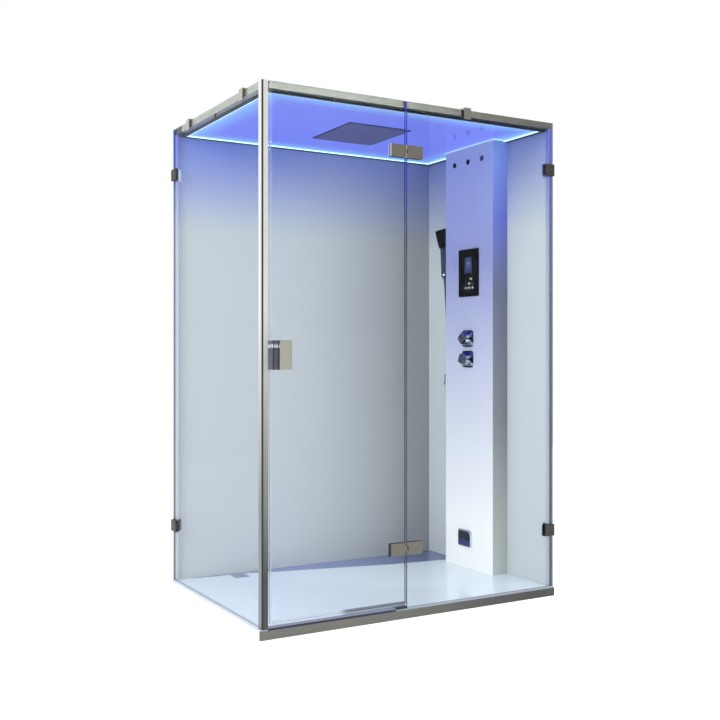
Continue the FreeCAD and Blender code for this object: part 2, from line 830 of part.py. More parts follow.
def hinge_plate(side, z):
    """Inner plate of one hinge, with two studs that pass through the glass into the leaf."""
    half = hinge_leaf_h / 2
    near = axis_x + side * hinge_split
    far = near + side * hinge_leaf_w
    y0 = glass_in_y
    y1 = glass_in_y + hinge_leaf_t
    plate = box(min(near, far), max(near, far), y0, y1, z - half, z + half)
    plate = soften(plate, 1.0, lambda e: all(abs(v.Point.y - y1) < 1e-6 for v in e.Vertexes))
    for start, end in hinge_studs(side):
        if abs(start.z - z) < 1:
            plate = plate.fuse(rod(hinge_stud_r, start + V(0, gap, 0), V(end.x, y0 + 1, end.z)))
    return plate


def hinge_parts(side):
    """Leaves and inner plates of both hinges on one side of the joint."""
    heights = (hinge_low_z, hinge_high_z)
    return [hinge_half(side, z) for z in heights] + [hinge_plate(side, z) for z in heights]


def hinge_pins():
    """One pin for each hinge."""
    half = hinge_leaf_h / 2
    return [rod(pin_r, V(axis_x, axis_y, z - half), V(axis_x, axis_y, z + half))
            for z in (hinge_low_z, hinge_high_z)]


def handle_block(y0, y1, open_y):
    """One half of the handle: a block, hollow from the glass side, with two bosses."""
    x0 = left_x + handle_x
    low = handle_z - handle_h / 2
    block = box(x0, x0 + handle_w, y0, y1, low, low + handle_h)
    block = soften(block, handle_edge, lambda e: not all(abs(v.Point.y - open_y) < 1e-6
                                                         for v in e.Vertexes))
    shift = handle_wall if open_y == y1 else -handle_wall
    core = box(x0 + handle_wall, x0 + handle_w - handle_wall, y0 + shift, y1 + shift,
               low + handle_wall, low + handle_h - handle_wall)
    block = block.cut(core)
    for start, end in handle_studs():
        foot = V(start.x, y0, start.z)
        block = block.fuse(rod(handle_stud_r + 3, foot, V(start.x, y1, start.z)))
    return block


def handle_outer():
    """Outer half; its studs pass through the glass into the inner half."""
    y0 = glass_out_y - handle_d
    block = handle_block(y0, glass_out_y, glass_out_y)
    for start, end in handle_studs():
        block = block.fuse(rod(handle_stud_r, start, end - V(0, gap, 0)))
    return block


def handle_inner():
    """Inner half, bored for the studs."""
    block = handle_block(glass_in_y, glass_in_y + handle_d, glass_in_y)
    for start, end in handle_studs():
        block = block.cut(rod(handle_stud_r + 0.1, start, end))
    return block


def door_edge_seals():
    """Clear strips: a magnetic one at the free edge, a filler in the hinge joint."""
    top = cabin_h
    y0 = glass_out_y - seal_t
    y1 = glass_in_y + seal_t
    free = box(door_free_x - seal_reach, door_free_x + seal_leg, y0, y1, door_foot_z, top)
    free = free.cut(box(door_free_x, door_free_x + seal_leg + 1, glass_out_y, glass_in_y,
                        tray_h, top + 1))
    free = free.cut(box(door_free_x - seal_reach - 1, door_free_x + seal_leg + 1,
                        glass_in_y, y1 + 1, header_z - 2, top + 1))
    lengths = []
    clear = hinge_leaf_h / 2 + 2
    stops = [door_foot_z, hinge_low_z - clear, hinge_low_z + clear, hinge_high_z - clear,
             hinge_high_z + clear, top]
    for low, high in zip(stops[0::2], stops[1::2]):
        lengths.append(box(door_edge_x, fixed_edge_x - run_gap, glass_out_y,
                           glass_in_y - seal_t, low, high))
    return [free] + lengths


def door_drip_seal():
    """Clear channel on the door's lower edge, with a wiping lip."""
    x0 = door_free_x
    x1 = door_edge_x
    y0 = glass_out_y - seal_t
    y1 = glass_in_y + seal_t
    low = door_foot_z - drip_h
    body = box(x0 + seal_leg + 1, x1 - 1, y0, y1, low + drip_h / 2, door_foot_z + seal_leg)
    body = body.cut(box(x0, x1, glass_out_y, glass_in_y, door_foot_z,
                        door_foot_z + 2 * seal_leg))
    lip = box(x0 + seal_leg + 1, x1 - 1, y0, y0 + 2 * seal_t, low, door_foot_z)
    return body.fuse(lip).removeSplitter()


def strike_seal():
    """Pale magnetic strip on the post that the closed door meets."""
    x0 = left_x + post_w
    return box(x0, strike_x, glass_out_y, glass_in_y, tray_h + threshold_h, cabin_h)


def threshold():
    """Low track under the door that also caps the tray's edge, and a block at its hinge end."""
    x0 = left_x + post_w
    x1 = fixed_edge_x - gap - end_block_l
    edge_y = -tray_d / 2
    y0 = front_y + 1
    y1 = y0 + threshold_d
    top = tray_h + threshold_h
    section = [(edge_y, tray_h - plinth_drop + gap), (edge_y + plinth_t, tray_h - plinth_drop + gap),
               (edge_y + plinth_t, tray_h), (y1, tray_h), (y1, tray_h + threshold_h * 0.4),
               (y1 - threshold_d / 2, top), (y1 - threshold_d / 2 - threshold_flat, top),
               (edge_y, tray_h + threshold_h * 0.4)]
    track = prism([V(x0, y, z) for y, z in section], V(x1 - x0, 0, 0))
    block = box(x1 + gap, fixed_edge_x - gap, y0, y1, tray_h, tray_h + end_block_h)
    return [track, soften(block, 1.5, lambda e: min(v.Point.z for v in e.Vertexes) > tray_h + 1)]


# ---------------------------------------------------------------- ceiling and rain head
def ceiling_box(inset, z0, z1):
    """The space between rails and panels, shrunk by an inset."""
    return box(rail_right_x + inset, right_face_x - inset, rail_back_y + inset,
               back_face_y - inset, z0, z1)


def ceiling_panel():
    """Gloss panel between the rails, open for the rain head and the riser."""
    panel = ceiling_box(gap, ceiling_z, ceiling_z + ceiling_t)
    w = rain_w / 2 - rain_box_inset + gap
    d = rain_d / 2 - rain_box_inset + gap
    z0 = ceiling_z - 1
    z1 = ceiling_z + ceiling_t + 1
    panel = panel.cut(box(rain_cx - w, rain_cx + w, rain_cy - d, rain_cy + d, z0, z1))
    reach = pipe_bend + pipe_r
    return panel.cut(box(riser_x - reach, riser_x + pipe_r + 2, rain_cy - pipe_r - 2,
                         rain_cy + pipe_r + 2, z0, z1))


def edge_bars(inset, w, z0):
    """Five bars of one width round the ceiling's edge, broken where the column stands."""
    x0 = rail_right_x + inset
    x1 = right_face_x - inset
    y0 = rail_back_y + inset
    y1 = back_face_y - inset
    spans = [(x0, x0 + w, y0, y1), (x0 + w, x1, y0, y0 + w), (x0 + w, x1, y1 - w, y1),
             (x1 - w, x1, y0 + w, column_y0 - run_gap), (x1 - w, x1, column_y1 + run_gap, y1 - w)]
    return [box(xa, xb, ya, yb, z0, ceiling_z) for xa, xb, ya, yb in spans]


def ceiling_trim():
    """Frame bars under the ceiling's edge."""
    return edge_bars(gap, trim_w - gap, ceiling_z - trim_h)


def led_strips():
    """Light strips against the trim's inner face."""
    return edge_bars(trim_w, led_w, ceiling_z - led_t)


def roof_cover():
    """Shallow pan over the ceiling."""
    cover = ceiling_box(gap, ceiling_z + ceiling_t, roof_z)
    core = ceiling_box(gap + wall_t, ceiling_z + ceiling_t - 1, roof_z - roof_t)
    return cover.cut(core)


def rain_head_plate():
    """Flat spray plate with a field of tips."""
    z0 = ceiling_z - rain_t
    centre = V(rain_cx, rain_cy, z0)
    plate = rounded_slab(rain_w, rain_d, 4, centre, V(1, 0, 0), V(0, 1, 0), V(0, 0, rain_t))
    step_x = (rain_w - 2 * rain_border) / (rain_cols - 1)
    step_y = (rain_d - 2 * rain_border) / (rain_rows - 1)
    tips = []
    for i in range(rain_cols):
        for j in range(rain_rows):
            x = rain_cx - rain_w / 2 + rain_border + i * step_x
            y = rain_cy - rain_d / 2 + rain_border + j * step_y
            tips.append(tip(V(x, y, z0), V(0, 0, -1), rain_tip_r, rain_tip_h))
    return plate.fuse(tips)


def rain_head_body():
    """Water box over the spray plate, with the pipe's entry in its side."""
    w = rain_w / 2 - rain_box_inset
    d = rain_d / 2 - rain_box_inset
    body = box(rain_cx - w, rain_cx + w, rain_cy - d, rain_cy + d, ceiling_z,
               ceiling_z + rain_box_h)
    body = body.cut(box(rain_cx - w + wall_t, rain_cx + w - wall_t, rain_cy - d + wall_t,
                        rain_cy + d - wall_t, ceiling_z - 1, ceiling_z + rain_box_h - wall_t))
    return body.cut(rod(pipe_r + gap, V(rain_cx, rain_cy, pipe_z), V(riser_x, rain_cy, pipe_z)))


def supply_pipes():
    """Riser to the rain head, manifold of the jets, feed of the generator and of the elbow."""
    top = mixer_z + mixer_half_h()
    riser = bent_tube(pipe_r, [V(riser_x, rain_cy, top), V(riser_x, rain_cy, pipe_z),
                               V(rain_cx + rain_w / 2 - rain_box_inset - wall_t, rain_cy, pipe_z)],
                      [pipe_bend])
    manifold = rod(pipe_r, V(riser_x, nozzle_ys[0] - pipe_r, nozzle_z),
                   V(riser_x, nozzle_ys[2] + pipe_r, nozzle_z))
    feed_y = valve_cy + mixer_w / 4
    feed = rod(pipe_r, V(riser_x, feed_y, generator_z + generator_h),
               V(riser_x, feed_y, mixer_z - mixer_half_h()))
    tee_z = elbow_z
    branch = rod(pipe_r, V(riser_x, feed_y, tee_z), V(riser_x, column_y1 - 2 * pipe_bend, tee_z))
    link = bent_tube(pipe_r, [V(riser_x, column_y1 - 2 * pipe_bend - 10, tee_z),
                              V(riser_x, column_y1 - 1.2 * pipe_bend, tee_z),
                              V(elbow_top.x, column_y1 - 0.4 * pipe_bend - column_t, tee_z),
                              V(elbow_top.x, column_y1 - column_t, tee_z)], [14, 14])
    low = feed.fuse([branch, link]).removeSplitter()
    return [riser.fuse(manifold).removeSplitter(), low]


# ---------------------------------------------------------------- service column
def mixer_half_h():
    """Half the height of the mixer block."""
    return (valve_high_z - valve_low_z) / 2 + mixer_over


def inlet_ys():
    """The two inlets' places along Y."""
    return [valve_cy - inlet_pitch / 2, valve_cy + inlet_pitch / 2]


def column_shell():
    """Three-sided cover with rounded upright edges, open to the right panel."""
    body = box(column_x, right_face_x, column_y0, column_y1, tray_h, ceiling_z)
    body = soften(body, column_edge_r,
                  lambda e: upright(e) and abs(e.Vertexes[0].Point.x - column_x) < 1e-6)
    core = box(column_x + column_t, right_face_x + 1, column_y0 + column_t,
               column_y1 - column_t, tray_h - 1, ceiling_z + 1)
    body = body.cut(core)
    inside = V(column_x + 2 * column_t, 0, 0)
    outside = V(column_x - 1, 0, 0)
    for y in nozzle_ys:
        body = body.cut(rod(nozzle_stem_r + gap, outside + V(0, y, nozzle_z),
                            inside + V(0, y, nozzle_z)))
    for z in (valve_low_z, valve_high_z):
        body = body.cut(rod(valve_neck_r + gap, outside + V(0, valve_cy, z),
                            inside + V(0, valve_cy, z)))
    cy = column_y0 + control_y
    w = control_box_w / 2 + gap
    h = control_box_h / 2 + gap
    body = body.cut(box(column_x - 1, column_x + 2 * column_t, cy - w, cy + w,
                        control_z - h, control_z + h))
    oy = column_y0 + outlet_y
    body = body.cut(rod(steam_r + gap, outside + V(0, oy, outlet_z), inside + V(0, oy, outlet_z)))
    return body.cut(rod(pipe_r + gap, V(elbow_top.x, column_y1 - 2 * column_t, elbow_z),
                        V(elbow_top.x, column_y1 + 1, elbow_z)))


def column_rails():
    """Two uprights on the right panel, inside the shell's edges."""
    x0 = right_face_x - rail_t
    y0 = column_y0 + column_t + gap
    y1 = column_y1 - column_t - gap
    return [box(x0, right_face_x, y0, y0 + rail_w, tray_h, ceiling_z),
            box(x0, right_face_x, y1 - rail_w, y1, tray_h, ceiling_z)]


def spray_nozzles():
    """Three like jets: a domed disc and a stem to the manifold."""
    shapes = []
    reach = riser_x - pipe_r - column_x
    out = nozzle_out
    wide = nozzle_r
    profile = [(-out, 0), (-out, 0.4 * wide), (-0.8 * out, 0.62 * wide), (-0.6 * out, 0.7 * wide),
               (-0.45 * out, 0.92 * wide), (-0.2 * out, wide), (0, wide), (0, nozzle_stem_r),
               (reach, nozzle_stem_r), (reach, 0)]
    for y in nozzle_ys:
        shapes.append(revolve(profile, V(column_x, y, nozzle_z), V(1, 0, 0)))
    return shapes


def control_centre():
    """The middle of the touch panel on the column's face."""
    return V(column_x, column_y0 + control_y, control_z)


def screen_slab(grow, start, run):
    """The screen's outline as a slab behind the touch glass's front."""
    centre = control_centre() + V(start, 0, screen_up)
    return rounded_slab(screen_w + 2 * grow, screen_h + 2 * grow, 2, centre,
                        V(0, 1, 0), V(0, 0, 1), V(run, 0, 0))


def key_places():
    """Six touch points under the screen: three, two and one, from the bottom row up."""
    rows = [(-1, 0, 1), (-1, 0), (-0.55,)]
    places = []
    for i, row in enumerate(rows):
        for step in row:
            places.append((column_y0 + control_y - key_shift + key_pitch_y * step,
                           control_z - key_low + i * key_pitch_z))
    return places


def control_glass():
    """Touch glass on the column's face, with pockets for screen and keys."""
    centre = control_centre() - V(control_t, 0, 0)
    glass = rounded_slab(control_w, control_h, 5, centre, V(0, 1, 0), V(0, 0, 1),
                         V(control_t, 0, 0))
    front = -control_t
    glass = soften(glass, 0.8, lambda e: all(abs(v.Point.x - column_x - front) < 1e-6
                                             for v in e.Vertexes))
    glass = glass.cut(screen_slab(gap / 2, front - 1, inlay_t + 1))
    for y, z in key_places():
        start = V(column_x + front - 1, y, z)
        glass = glass.cut(rod(key_r + gap / 2, start, start + V(1 + inlay_t, 0, 0)))
    return glass


def control_screen():
    """Display, flush in the touch glass."""
    return screen_slab(0, -control_t, inlay_t)


def control_keys():
    """Six lit touch points, flush in the touch glass."""
    return [rod(key_r, V(column_x - control_t, y, z), V(column_x - control_t + inlay_t, y, z))
            for y, z in key_places()]


def control_box():
    """Electronics box behind the touch glass."""
    centre = control_centre()
    return rounded_slab(control_box_w, control_box_h, 4, centre, V(0, 1, 0), V(0, 0, 1),
                        V(control_box_d, 0, 0))


def valve_bodies():
    """Square rose, tapered barrel and neck of both taps, bored for the spindles."""
    nose = -valve_base_t - valve_barrel_l
    profile = [(nose, 0), (nose, valve_nose_r - 1), (nose + 1, valve_nose_r),
               (-valve_base_t, valve_barrel_r), (0, valve_barrel_r), (0, valve_neck_r),
               (column_t + valve_neck_l, valve_neck_r), (column_t + valve_neck_l, 0)]
    shapes = []
    for z in (valve_high_z, valve_low_z):
        body = revolve(profile, V(column_x, valve_cy, z), V(1, 0, 0))
        centre = V(column_x - valve_base_t, valve_cy, z)
        rose = rounded_slab(valve_base_w, valve_base_w, valve_base_r, centre, V(0, 1, 0),
                            V(0, 0, 1), V(valve_base_t, 0, 0))
        rose = soften(rose, valve_base_edge,
                      lambda e: all(abs(v.Point.x - centre.x) < 1e-6 for v in e.Vertexes))
        bore = rod(valve_bore_r, centre - V(valve_barrel_l + 1, 0, 0),
                   V(column_x + nose + spindle_l, valve_cy, z))
        shapes.append(body.fuse(rose).removeSplitter().cut(bore))
    return shapes


def knob(z, turn):
    """Square tap knob with its spindle, turned about its axis."""
    back = column_x - valve_base_t - valve_barrel_l - knob_off
    angle = math.radians(turn)
    across = V(0, math.cos(angle), math.sin(angle))
    up = V(0, -math.sin(angle), math.cos(angle))
    centre = V(back - knob_t, valve_cy, z)
    cap = rounded_slab(knob_side, knob_side, knob_corner_r, centre, across, up, V(knob_t, 0, 0))
    cap = soften(cap, knob_edge, lambda e: all(abs(v.Point.x - centre.x) < 1e-6
                                               for v in e.Vertexes))
    spindle = rod(spindle_r, V(back - 1, valve_cy, z), V(back + spindle_l, valve_cy, z))
    return cap.fuse(spindle)


def mixer_body():
    """Block behind the taps, a crossbar, and two threaded stubs through the right panel."""
    x1 = right_face_x - gap
    half = mixer_half_h()
    block = box(mixer_x, x1, valve_cy - mixer_w / 2, valve_cy + mixer_w / 2,
                mixer_z - half, mixer_z + half)
    reach = inlet_pitch / 2 + inlet_r + 4
    bar = box(mixer_x, x1, valve_cy - reach, valve_cy + reach,
              mixer_z - mixer_d / 2, mixer_z + mixer_d / 2)
    body = block.fuse(bar)
    end = right_x + inlet_out
    for y in inlet_ys():
        collar = rod(inlet_r + 1 - gap, V(x1 - 1, y, mixer_z), V(right_x, y, mixer_z))
        stub = rod(inlet_r, V(right_x - 1, y, mixer_z), V(end, y, mixer_z))
        body = body.fuse([collar, stub])
    for y in inlet_ys():
        body = body.cut(rod(inlet_bore_r, V(x1 - 14, y, mixer_z), V(end + 1, y, mixer_z)))
    return body


def steam_generator():
    """Flat boiler on the right panel, low in the column."""
    y = valve_cy
    body = box(right_face_x - generator_d, right_face_x, y - generator_w / 2,
               y + generator_w / 2, generator_z, generator_z + generator_h)
    return soften(body, 4, lambda e: abs(e.Vertexes[0].Point.x - right_face_x) > 1
                  and abs(e.Vertexes[-1].Point.x - right_face_x) > 1)


def steam_pipe():
    """From the boiler's underside to the outlet."""
    y = column_y0 + outlet_y
    x = right_face_x - generator_d / 2
    points = [V(x, y, generator_z), V(x, y, outlet_z), V(column_x, y, outlet_z)]
    outer = bent_tube(steam_r, points, [pipe_bend])
    inner = bent_tube(steam_bore_r, [points[0] + V(0, 0, 1), points[1], points[2] - V(1, 0, 0)],
                      [pipe_bend])
    return outer.cut(inner)


def outlet_slab(inset, start, run):
    """The steam outlet's outline, with one larger corner, as a slab."""
    centre = V(column_x + start, column_y0 + outlet_y, outlet_z)
    small = outlet_corner_r - inset
    radii = [small, small, small, outlet_big_r - inset]
    wire = rounded_outline(outlet_w - 2 * inset, outlet_h - 2 * inset, radii, centre,
                           V(0, 1, 0), V(0, 0, 1))
    return Part.Face(wire).extrude(V(run, 0, 0))


def steam_outlet():
    """Rimmed cover on the column's face; the steam leaves through a slot under its plate."""
    body = outlet_slab(0, -outlet_t, outlet_t)
    body = soften(body, 1.2, lambda e: all(abs(v.Point.x - column_x + outlet_t) < 1e-6
                                           for v in e.Vertexes))
    body = body.cut(outlet_slab(outlet_rim, -outlet_t - 1, 4))
    hollow = outlet_slab(outlet_rim + 4, -outlet_t, outlet_t - outlet_wall)
    body = body.cut(hollow)
    y = column_y0 + outlet_y
    body = body.cut(rod(steam_bore_r, V(column_x - outlet_t, y, outlet_z),
                        V(column_x + 1, y, outlet_z)))
    slot = box(column_x - outlet_t / 2 - 2, column_x - outlet_t / 2 + 2, y - outlet_w / 4,
               y + outlet_w / 4, outlet_z - outlet_h, outlet_z - outlet_h / 4)
    return body.cut(slot)


def steam_outlet_plate():
    """Mirror plate in the cover's rim."""
    return outlet_slab(outlet_rim + gap, -outlet_t + 1, 2)


# ---------------------------------------------------------------- hand shower
def leaned(shape):
    """Leans a piece drawn upright about its foot and sets it on the tail's base."""
    shape.rotate(V(0, 0, 0), V(1, 0, 0), -tilt)
    shape.translate(tail_base)
    return shape


def head_outline(inset):
    """The head's tapered outline seen from the spray side, as points over Y and Z."""
    low = tail_l + grip_l
    top = low + head_h
    half_low = head_low_w / 2 - inset
    half_top = head_top_w / 2 - inset
    return [V(0, -half_low, low + inset), V(0, half_low, low + inset),
            V(0, half_top, top - inset), V(0, -half_top, top - inset)]


def handset():
    """Round tail, flat grip and tapered head with a pocket for the spray face."""
    tail = Part.makeCone(tail_r, tail_top_r, tail_l)
    grip = box(-grip_d / 2, grip_d / 2, -grip_w / 2, grip_w / 2, tail_l - 2,
               tail_l + grip_l + 6)
    grip = soften(grip, 6, upright)
    head = prism([p + V(-head_t / 2, 0, 0) for p in head_outline(0)], V(head_t, 0, 0))
    head = soften(head, 7, lambda e: abs(abs(e.Vertexes[0].Point.x - e.Vertexes[-1].Point.x)
                                         - head_t) < 1e-6 and e.Vertexes[0].Point.z > tail_l + grip_l + 9)
    head = soften(head, head_edge, lambda e: all(abs(v.Point.x + head_t / 2) < 1e-6
                                                 for v in e.Vertexes))
    pocket = prism([p + V(-head_t / 2 - 1, 0, 0) for p in head_outline(face_inset)],
                   V(face_t + 1, 0, 0))
    body = tail.fuse([grip, head]).removeSplitter().cut(pocket)
    return leaned(body)


def handset_face():
    """Spray face with rows of tips."""
    plate = prism([p + V(-head_t / 2, 0, 0) for p in head_outline(face_inset + gap)],
                  V(face_t, 0, 0))
    low = tail_l + grip_l + face_inset
    high = tail_l + grip_l + head_h - face_inset
    tips = []
    for row in range(spray_rows):
        z = low + (high - low) * (row + 0.7) / (spray_rows + 0.4)
        half = (head_low_w + (head_top_w - head_low_w) * (z - tail_l - grip_l) / head_h) / 2
        for col in range(spray_cols):
            y = (half - face_inset - 6) * (2 * col / (spray_cols - 1) - 1)
            tips.append(tip(V(-head_t / 2, y, z), V(-1, 0, 0), spray_r, spray_h))
    return leaned(plate.fuse(tips))


def hose_nut_upper():
    """Nut under the handset's tail."""
    nut = rod(nut_r, V(0, 0, -nut_l), V(0, 0, 0))
    return leaned(nut)


def handset_holder():
    """Arm from the column's rear side to a tapered ring, slotted for the hose."""
    z0 = cradle_low
    z1 = cradle_low + cradle_h
    ring = rod(cradle_r, V(0, 0, z0), V(0, 0, z1))
    slope = (tail_top_r - tail_r) / tail_l
    bore = Part.makeCone(tail_r + slope * (z0 - 1) + gap, tail_r + slope * (z1 + 1) + gap,
                         cradle_h + 2, V(0, 0, z0 - 1))
    ring = leaned(ring)
    mid = cradle_z + (z0 + z1) / 2
    arm = box(tail_base.x - 9, tail_base.x + 9, column_y1, tail_base.y - cradle_r / 2,
              mid - 8, mid + 8)
    foot = box(tail_base.x - 15, tail_base.x + 15, column_y1, column_y1 + 4, mid - 20, mid + 20)
    foot = soften(foot, 3, lambda e: abs(e.Vertexes[0].Point.y - e.Vertexes[-1].Point.y) > 3.9)
    slot = box(-cradle_r - 2, 0, -hose_r - 1.5, hose_r + 1.5, z0 - 5, z1 + 5)
    return ring.fuse([arm, foot]).cut(leaned(bore)).cut(leaned(slot))


def outlet_elbow():
    """Rosette, elbow and the hose's lower nut on the column's rear side."""
    inner = V(elbow_top.x, column_y1, elbow_z)
    rosette = rod(elbow_rosette_r, inner, inner + V(0, elbow_rosette_t, 0))
    foot = elbow_top - V(0, 0, elbow_drop)
    arm = rod(elbow_r, inner, elbow_top)
    knee = Part.makeSphere(elbow_r, elbow_top)
    leg = rod(elbow_r, elbow_top, foot)
    body = rosette.fuse([arm, knee, leg]).removeSplitter()
    nut = rod(nut_r + 1, foot - V(0, 0, nut_l), foot)
    return [body, nut]


def hose_points():
    """Centre line of the hose, from the upper nut to the lower one."""
    start = tail_base - lean * (nut_l + gap)
    lower = elbow_top - V(0, 0, elbow_drop + nut_l + gap)
    return [start] + [V(left_x + x, front_y + y, z) for x, y, z in hose_way] + [lower]


def hose_radii(points):
    """Each bend takes up to 0.45 of its shorter neighbouring run."""
    radii = []
    for i in range(1, len(points) - 1):
        back = points[i - 1] - points[i]
        ahead = points[i + 1] - points[i]
        shorter = min(back.Length, ahead.Length)
        half_turn = (math.pi - back.getAngle(ahead)) / 2
        radii.append(0.45 * shorter / math.tan(half_turn))
    return radii


def shower_hose():
    """Flexible hose: down beside the column, a loop near the floor, and up to the elbow."""
    points = hose_points()
    radii = hose_radii(points)
    runs = [(b - a).Length for a, b in zip(points, points[1:])]
    print("hose runs", [round(run, 1) for run in runs], "total", round(sum(runs)))
    print("hose bend radii in diameters", [round(r / (2 * hose_r), 1) for r in radii])
    return bent_tube(hose_r, points, radii)


# ---------------------------------------------------------------- write every piece
export("tray", tray())
export("plinth_strip", plinth_strip())
export("drain_body", drain_body())
export("drain_cover", drain_cover())
export("corner_post", corner_post())
export("corner_gasket", corner_gasket())
export("strike_seal", strike_seal())
export("header_front", header_front())
export("header_left", header_left())
export("header_end_bracket", header_end_bracket())
export("header_clips", group(header_clips()))
export("header_bumpers", group(bumpers()))
export("left_glass", left_glass())
export("fixed_glass", fixed_glass())
export("back_panel", back_panel())
export("right_panel", right_panel())
export("rear_channel", rear_channel())
export("right_channel", right_channel())
export("glass_sills", group(sills()))
export("threshold", group(threshold()))
export("clamps_outer", group(clamps_outer()))
export("clamps_inner", group(clamps_inner()))
export("clamp_screws", group(clamp_screws()))
export("ceiling_panel", ceiling_panel())
export("ceiling_trim", group(ceiling_trim()))
export("led_strips", group(led_strips()))
export("roof_cover", roof_cover())
export("rain_head_plate", rain_head_plate())
export("rain_head_body", rain_head_body())
export("supply_pipes", group(supply_pipes()))
export("column_shell", column_shell())
export("column_rails", group(column_rails()))
export("spray_nozzles", group(spray_nozzles()))
export("control_glass", control_glass())
export("control_screen", control_screen())
export("control_keys", group(control_keys()))
export("control_box", control_box())
export("mixer_body", mixer_body())
export("valve_bodies", group(valve_bodies()))
export("knob_upper", knob(valve_high_z, knob_high_turn))
export("knob_lower", knob(valve_low_z, knob_low_turn))
export("steam_generator", steam_generator())
export("steam_pipe", steam_pipe())
export("steam_outlet", steam_outlet())
export("steam_outlet_plate", steam_outlet_plate())
export("handset_holder", handset_holder())
export("outlet_elbow", group(outlet_elbow()))
export("shower_hose", shower_hose())
export("handset", handset())
export("handset_face", handset_face())
export("hose_nut_upper", hose_nut_upper())
export("door_glass", door_glass())
export("door_edge_seals", group(door_edge_seals()))
export("door_drip_seal", door_drip_seal())
export("handle_outer", handle_outer())
export("handle_inner", handle_inner())
export("hinge_fixed", group(hinge_parts(1)))
export("hinge_moving", group(hinge_parts(-1)))
export("hinge_pins", group(hinge_pins()))
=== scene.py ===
# %% [markdown]
# # A steam shower cabin, dressed in Blender
# The solids come from CAD and stay where they are. This lesson gives each of them a finish, and
# adds the pieces that a solid model can't show well: the wound skin of the hose, the fine field of
# spray tips and the digits on the display. Everything is in metres, +Z is up, the door faces -Y.

# %% Load the frame
import math

import bmesh
import bpy
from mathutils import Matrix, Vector


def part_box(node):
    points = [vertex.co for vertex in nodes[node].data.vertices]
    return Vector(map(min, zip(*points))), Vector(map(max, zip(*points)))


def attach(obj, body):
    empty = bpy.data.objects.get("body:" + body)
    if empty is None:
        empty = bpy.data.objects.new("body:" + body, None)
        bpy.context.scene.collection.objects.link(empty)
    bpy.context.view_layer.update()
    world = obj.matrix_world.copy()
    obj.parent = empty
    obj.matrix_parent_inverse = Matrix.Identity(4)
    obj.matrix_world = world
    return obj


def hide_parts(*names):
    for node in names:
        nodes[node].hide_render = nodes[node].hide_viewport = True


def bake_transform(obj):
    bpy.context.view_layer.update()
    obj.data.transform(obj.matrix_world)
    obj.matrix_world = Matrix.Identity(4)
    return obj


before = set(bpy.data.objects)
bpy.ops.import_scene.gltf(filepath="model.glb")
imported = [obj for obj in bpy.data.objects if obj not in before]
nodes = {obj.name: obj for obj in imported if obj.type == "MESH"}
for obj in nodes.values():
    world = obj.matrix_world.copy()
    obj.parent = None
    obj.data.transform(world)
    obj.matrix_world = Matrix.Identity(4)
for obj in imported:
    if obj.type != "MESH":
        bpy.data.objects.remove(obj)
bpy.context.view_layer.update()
scene = bpy.context.scene
scene.view_settings.view_transform = "Standard"

# %% [markdown]
# ## Colours
# A painter writes a colour as the eye sees it, in sRGB from 0 to 255. A shader wants linear light.
# One small function turns the first into the second, so that every finish can be written as seen.


# %% A colour written as it is seen
def seen(red, green, blue):
    """Linear colour, with alpha, of an sRGB colour written from 0 to 255."""
    def line(value):
        value /= 255
        return value / 12.92 if value <= 0.04045 else ((value + 0.055) / 1.055) ** 2.4
    return (line(red), line(green), line(blue), 1.0)


# %% [markdown]
# ## Camera
# The view was worked out from the straight edges of the cabin: a level camera at chest height,
# turned 30 degrees to the right, so the uprights stay parallel. A small shift stands in for the
# crop.

# %% Place the camera
camera = bpy.data.objects.new("camera", bpy.data.cameras.new("camera"))
camera.location = (-2.3664, -4.0843, 1.1152)
camera.rotation_euler = (math.pi / 2, 0, math.radians(-30.114))
camera.data.sensor_width = 36
camera.data.lens = 49.9
camera.data.shift_y = -0.0055
scene.collection.objects.link(camera)
scene.camera = camera

# %% [markdown]
# ## Small builders
# Nearly every finish is the Principled shader with a few values set on its own sockets, and a
# group or two for what changes over the surface. These helpers keep the wiring short: what is fed
# to a socket may be a plain value, or a node or socket that gets linked.


# %% Feed sockets and add nodes
def feed(tree, socket, value):
    """Links a node or a socket, or sets a plain value; None leaves the socket as it is."""
    if isinstance(value, bpy.types.Node):
        value = value.outputs[0]
    if isinstance(value, bpy.types.NodeSocket):
        tree.links.new(value, socket)
    elif value is not None:
        socket.default_value = value


def feed_named(tree, node, **values):
    """Feeds a node's inputs by name, with _ for a space."""
    for name, value in values.items():
        feed(tree, node.inputs[name.replace("_", " ")], value)
    return node


def add_node(tree, kind, *feeds, **settings):
    """Adds a node with its settings; feeds go to its inputs in order."""
    node = tree.nodes.new(kind)
    for name, value in settings.items():
        setattr(node, name, value)
    for socket, value in zip(node.inputs, feeds):
        feed(tree, socket, value)
    return node


# %% A material with its Principled shader
def shader_of(material):
    return material.node_tree.nodes["Principled BSDF"]


def shade(material, **sockets):
    """Feeds the shader's own sockets."""
    feed_named(material.node_tree, shader_of(material), **sockets)


def finish(name, colour, roughness=0.5, metallic=0.0, **sockets):
    """A new material; more sockets are given by name, with _ for a space."""
    material = bpy.data.materials.new(name)
    material.use_nodes = True
    shade(material, Base_Color=colour, Roughness=roughness, Metallic=metallic, **sockets)
    return material


def wear(material, *names):
    """Gives CAD nodes their finish."""
    for name in names:
        mesh = nodes[name].data
        mesh.materials.clear()
        mesh.materials.append(material)


# %% Groups and bumps in a material
def place_group(material, group, **values):
    """Puts a shader node group into a material and feeds its inputs."""
    node = add_node(material.node_tree, "ShaderNodeGroup", node_tree=group)
    return feed_named(material.node_tree, node, **values)


def first_group(material):
    """The group that was placed first; it keeps the plain name."""
    return material.node_tree.nodes["Group"]


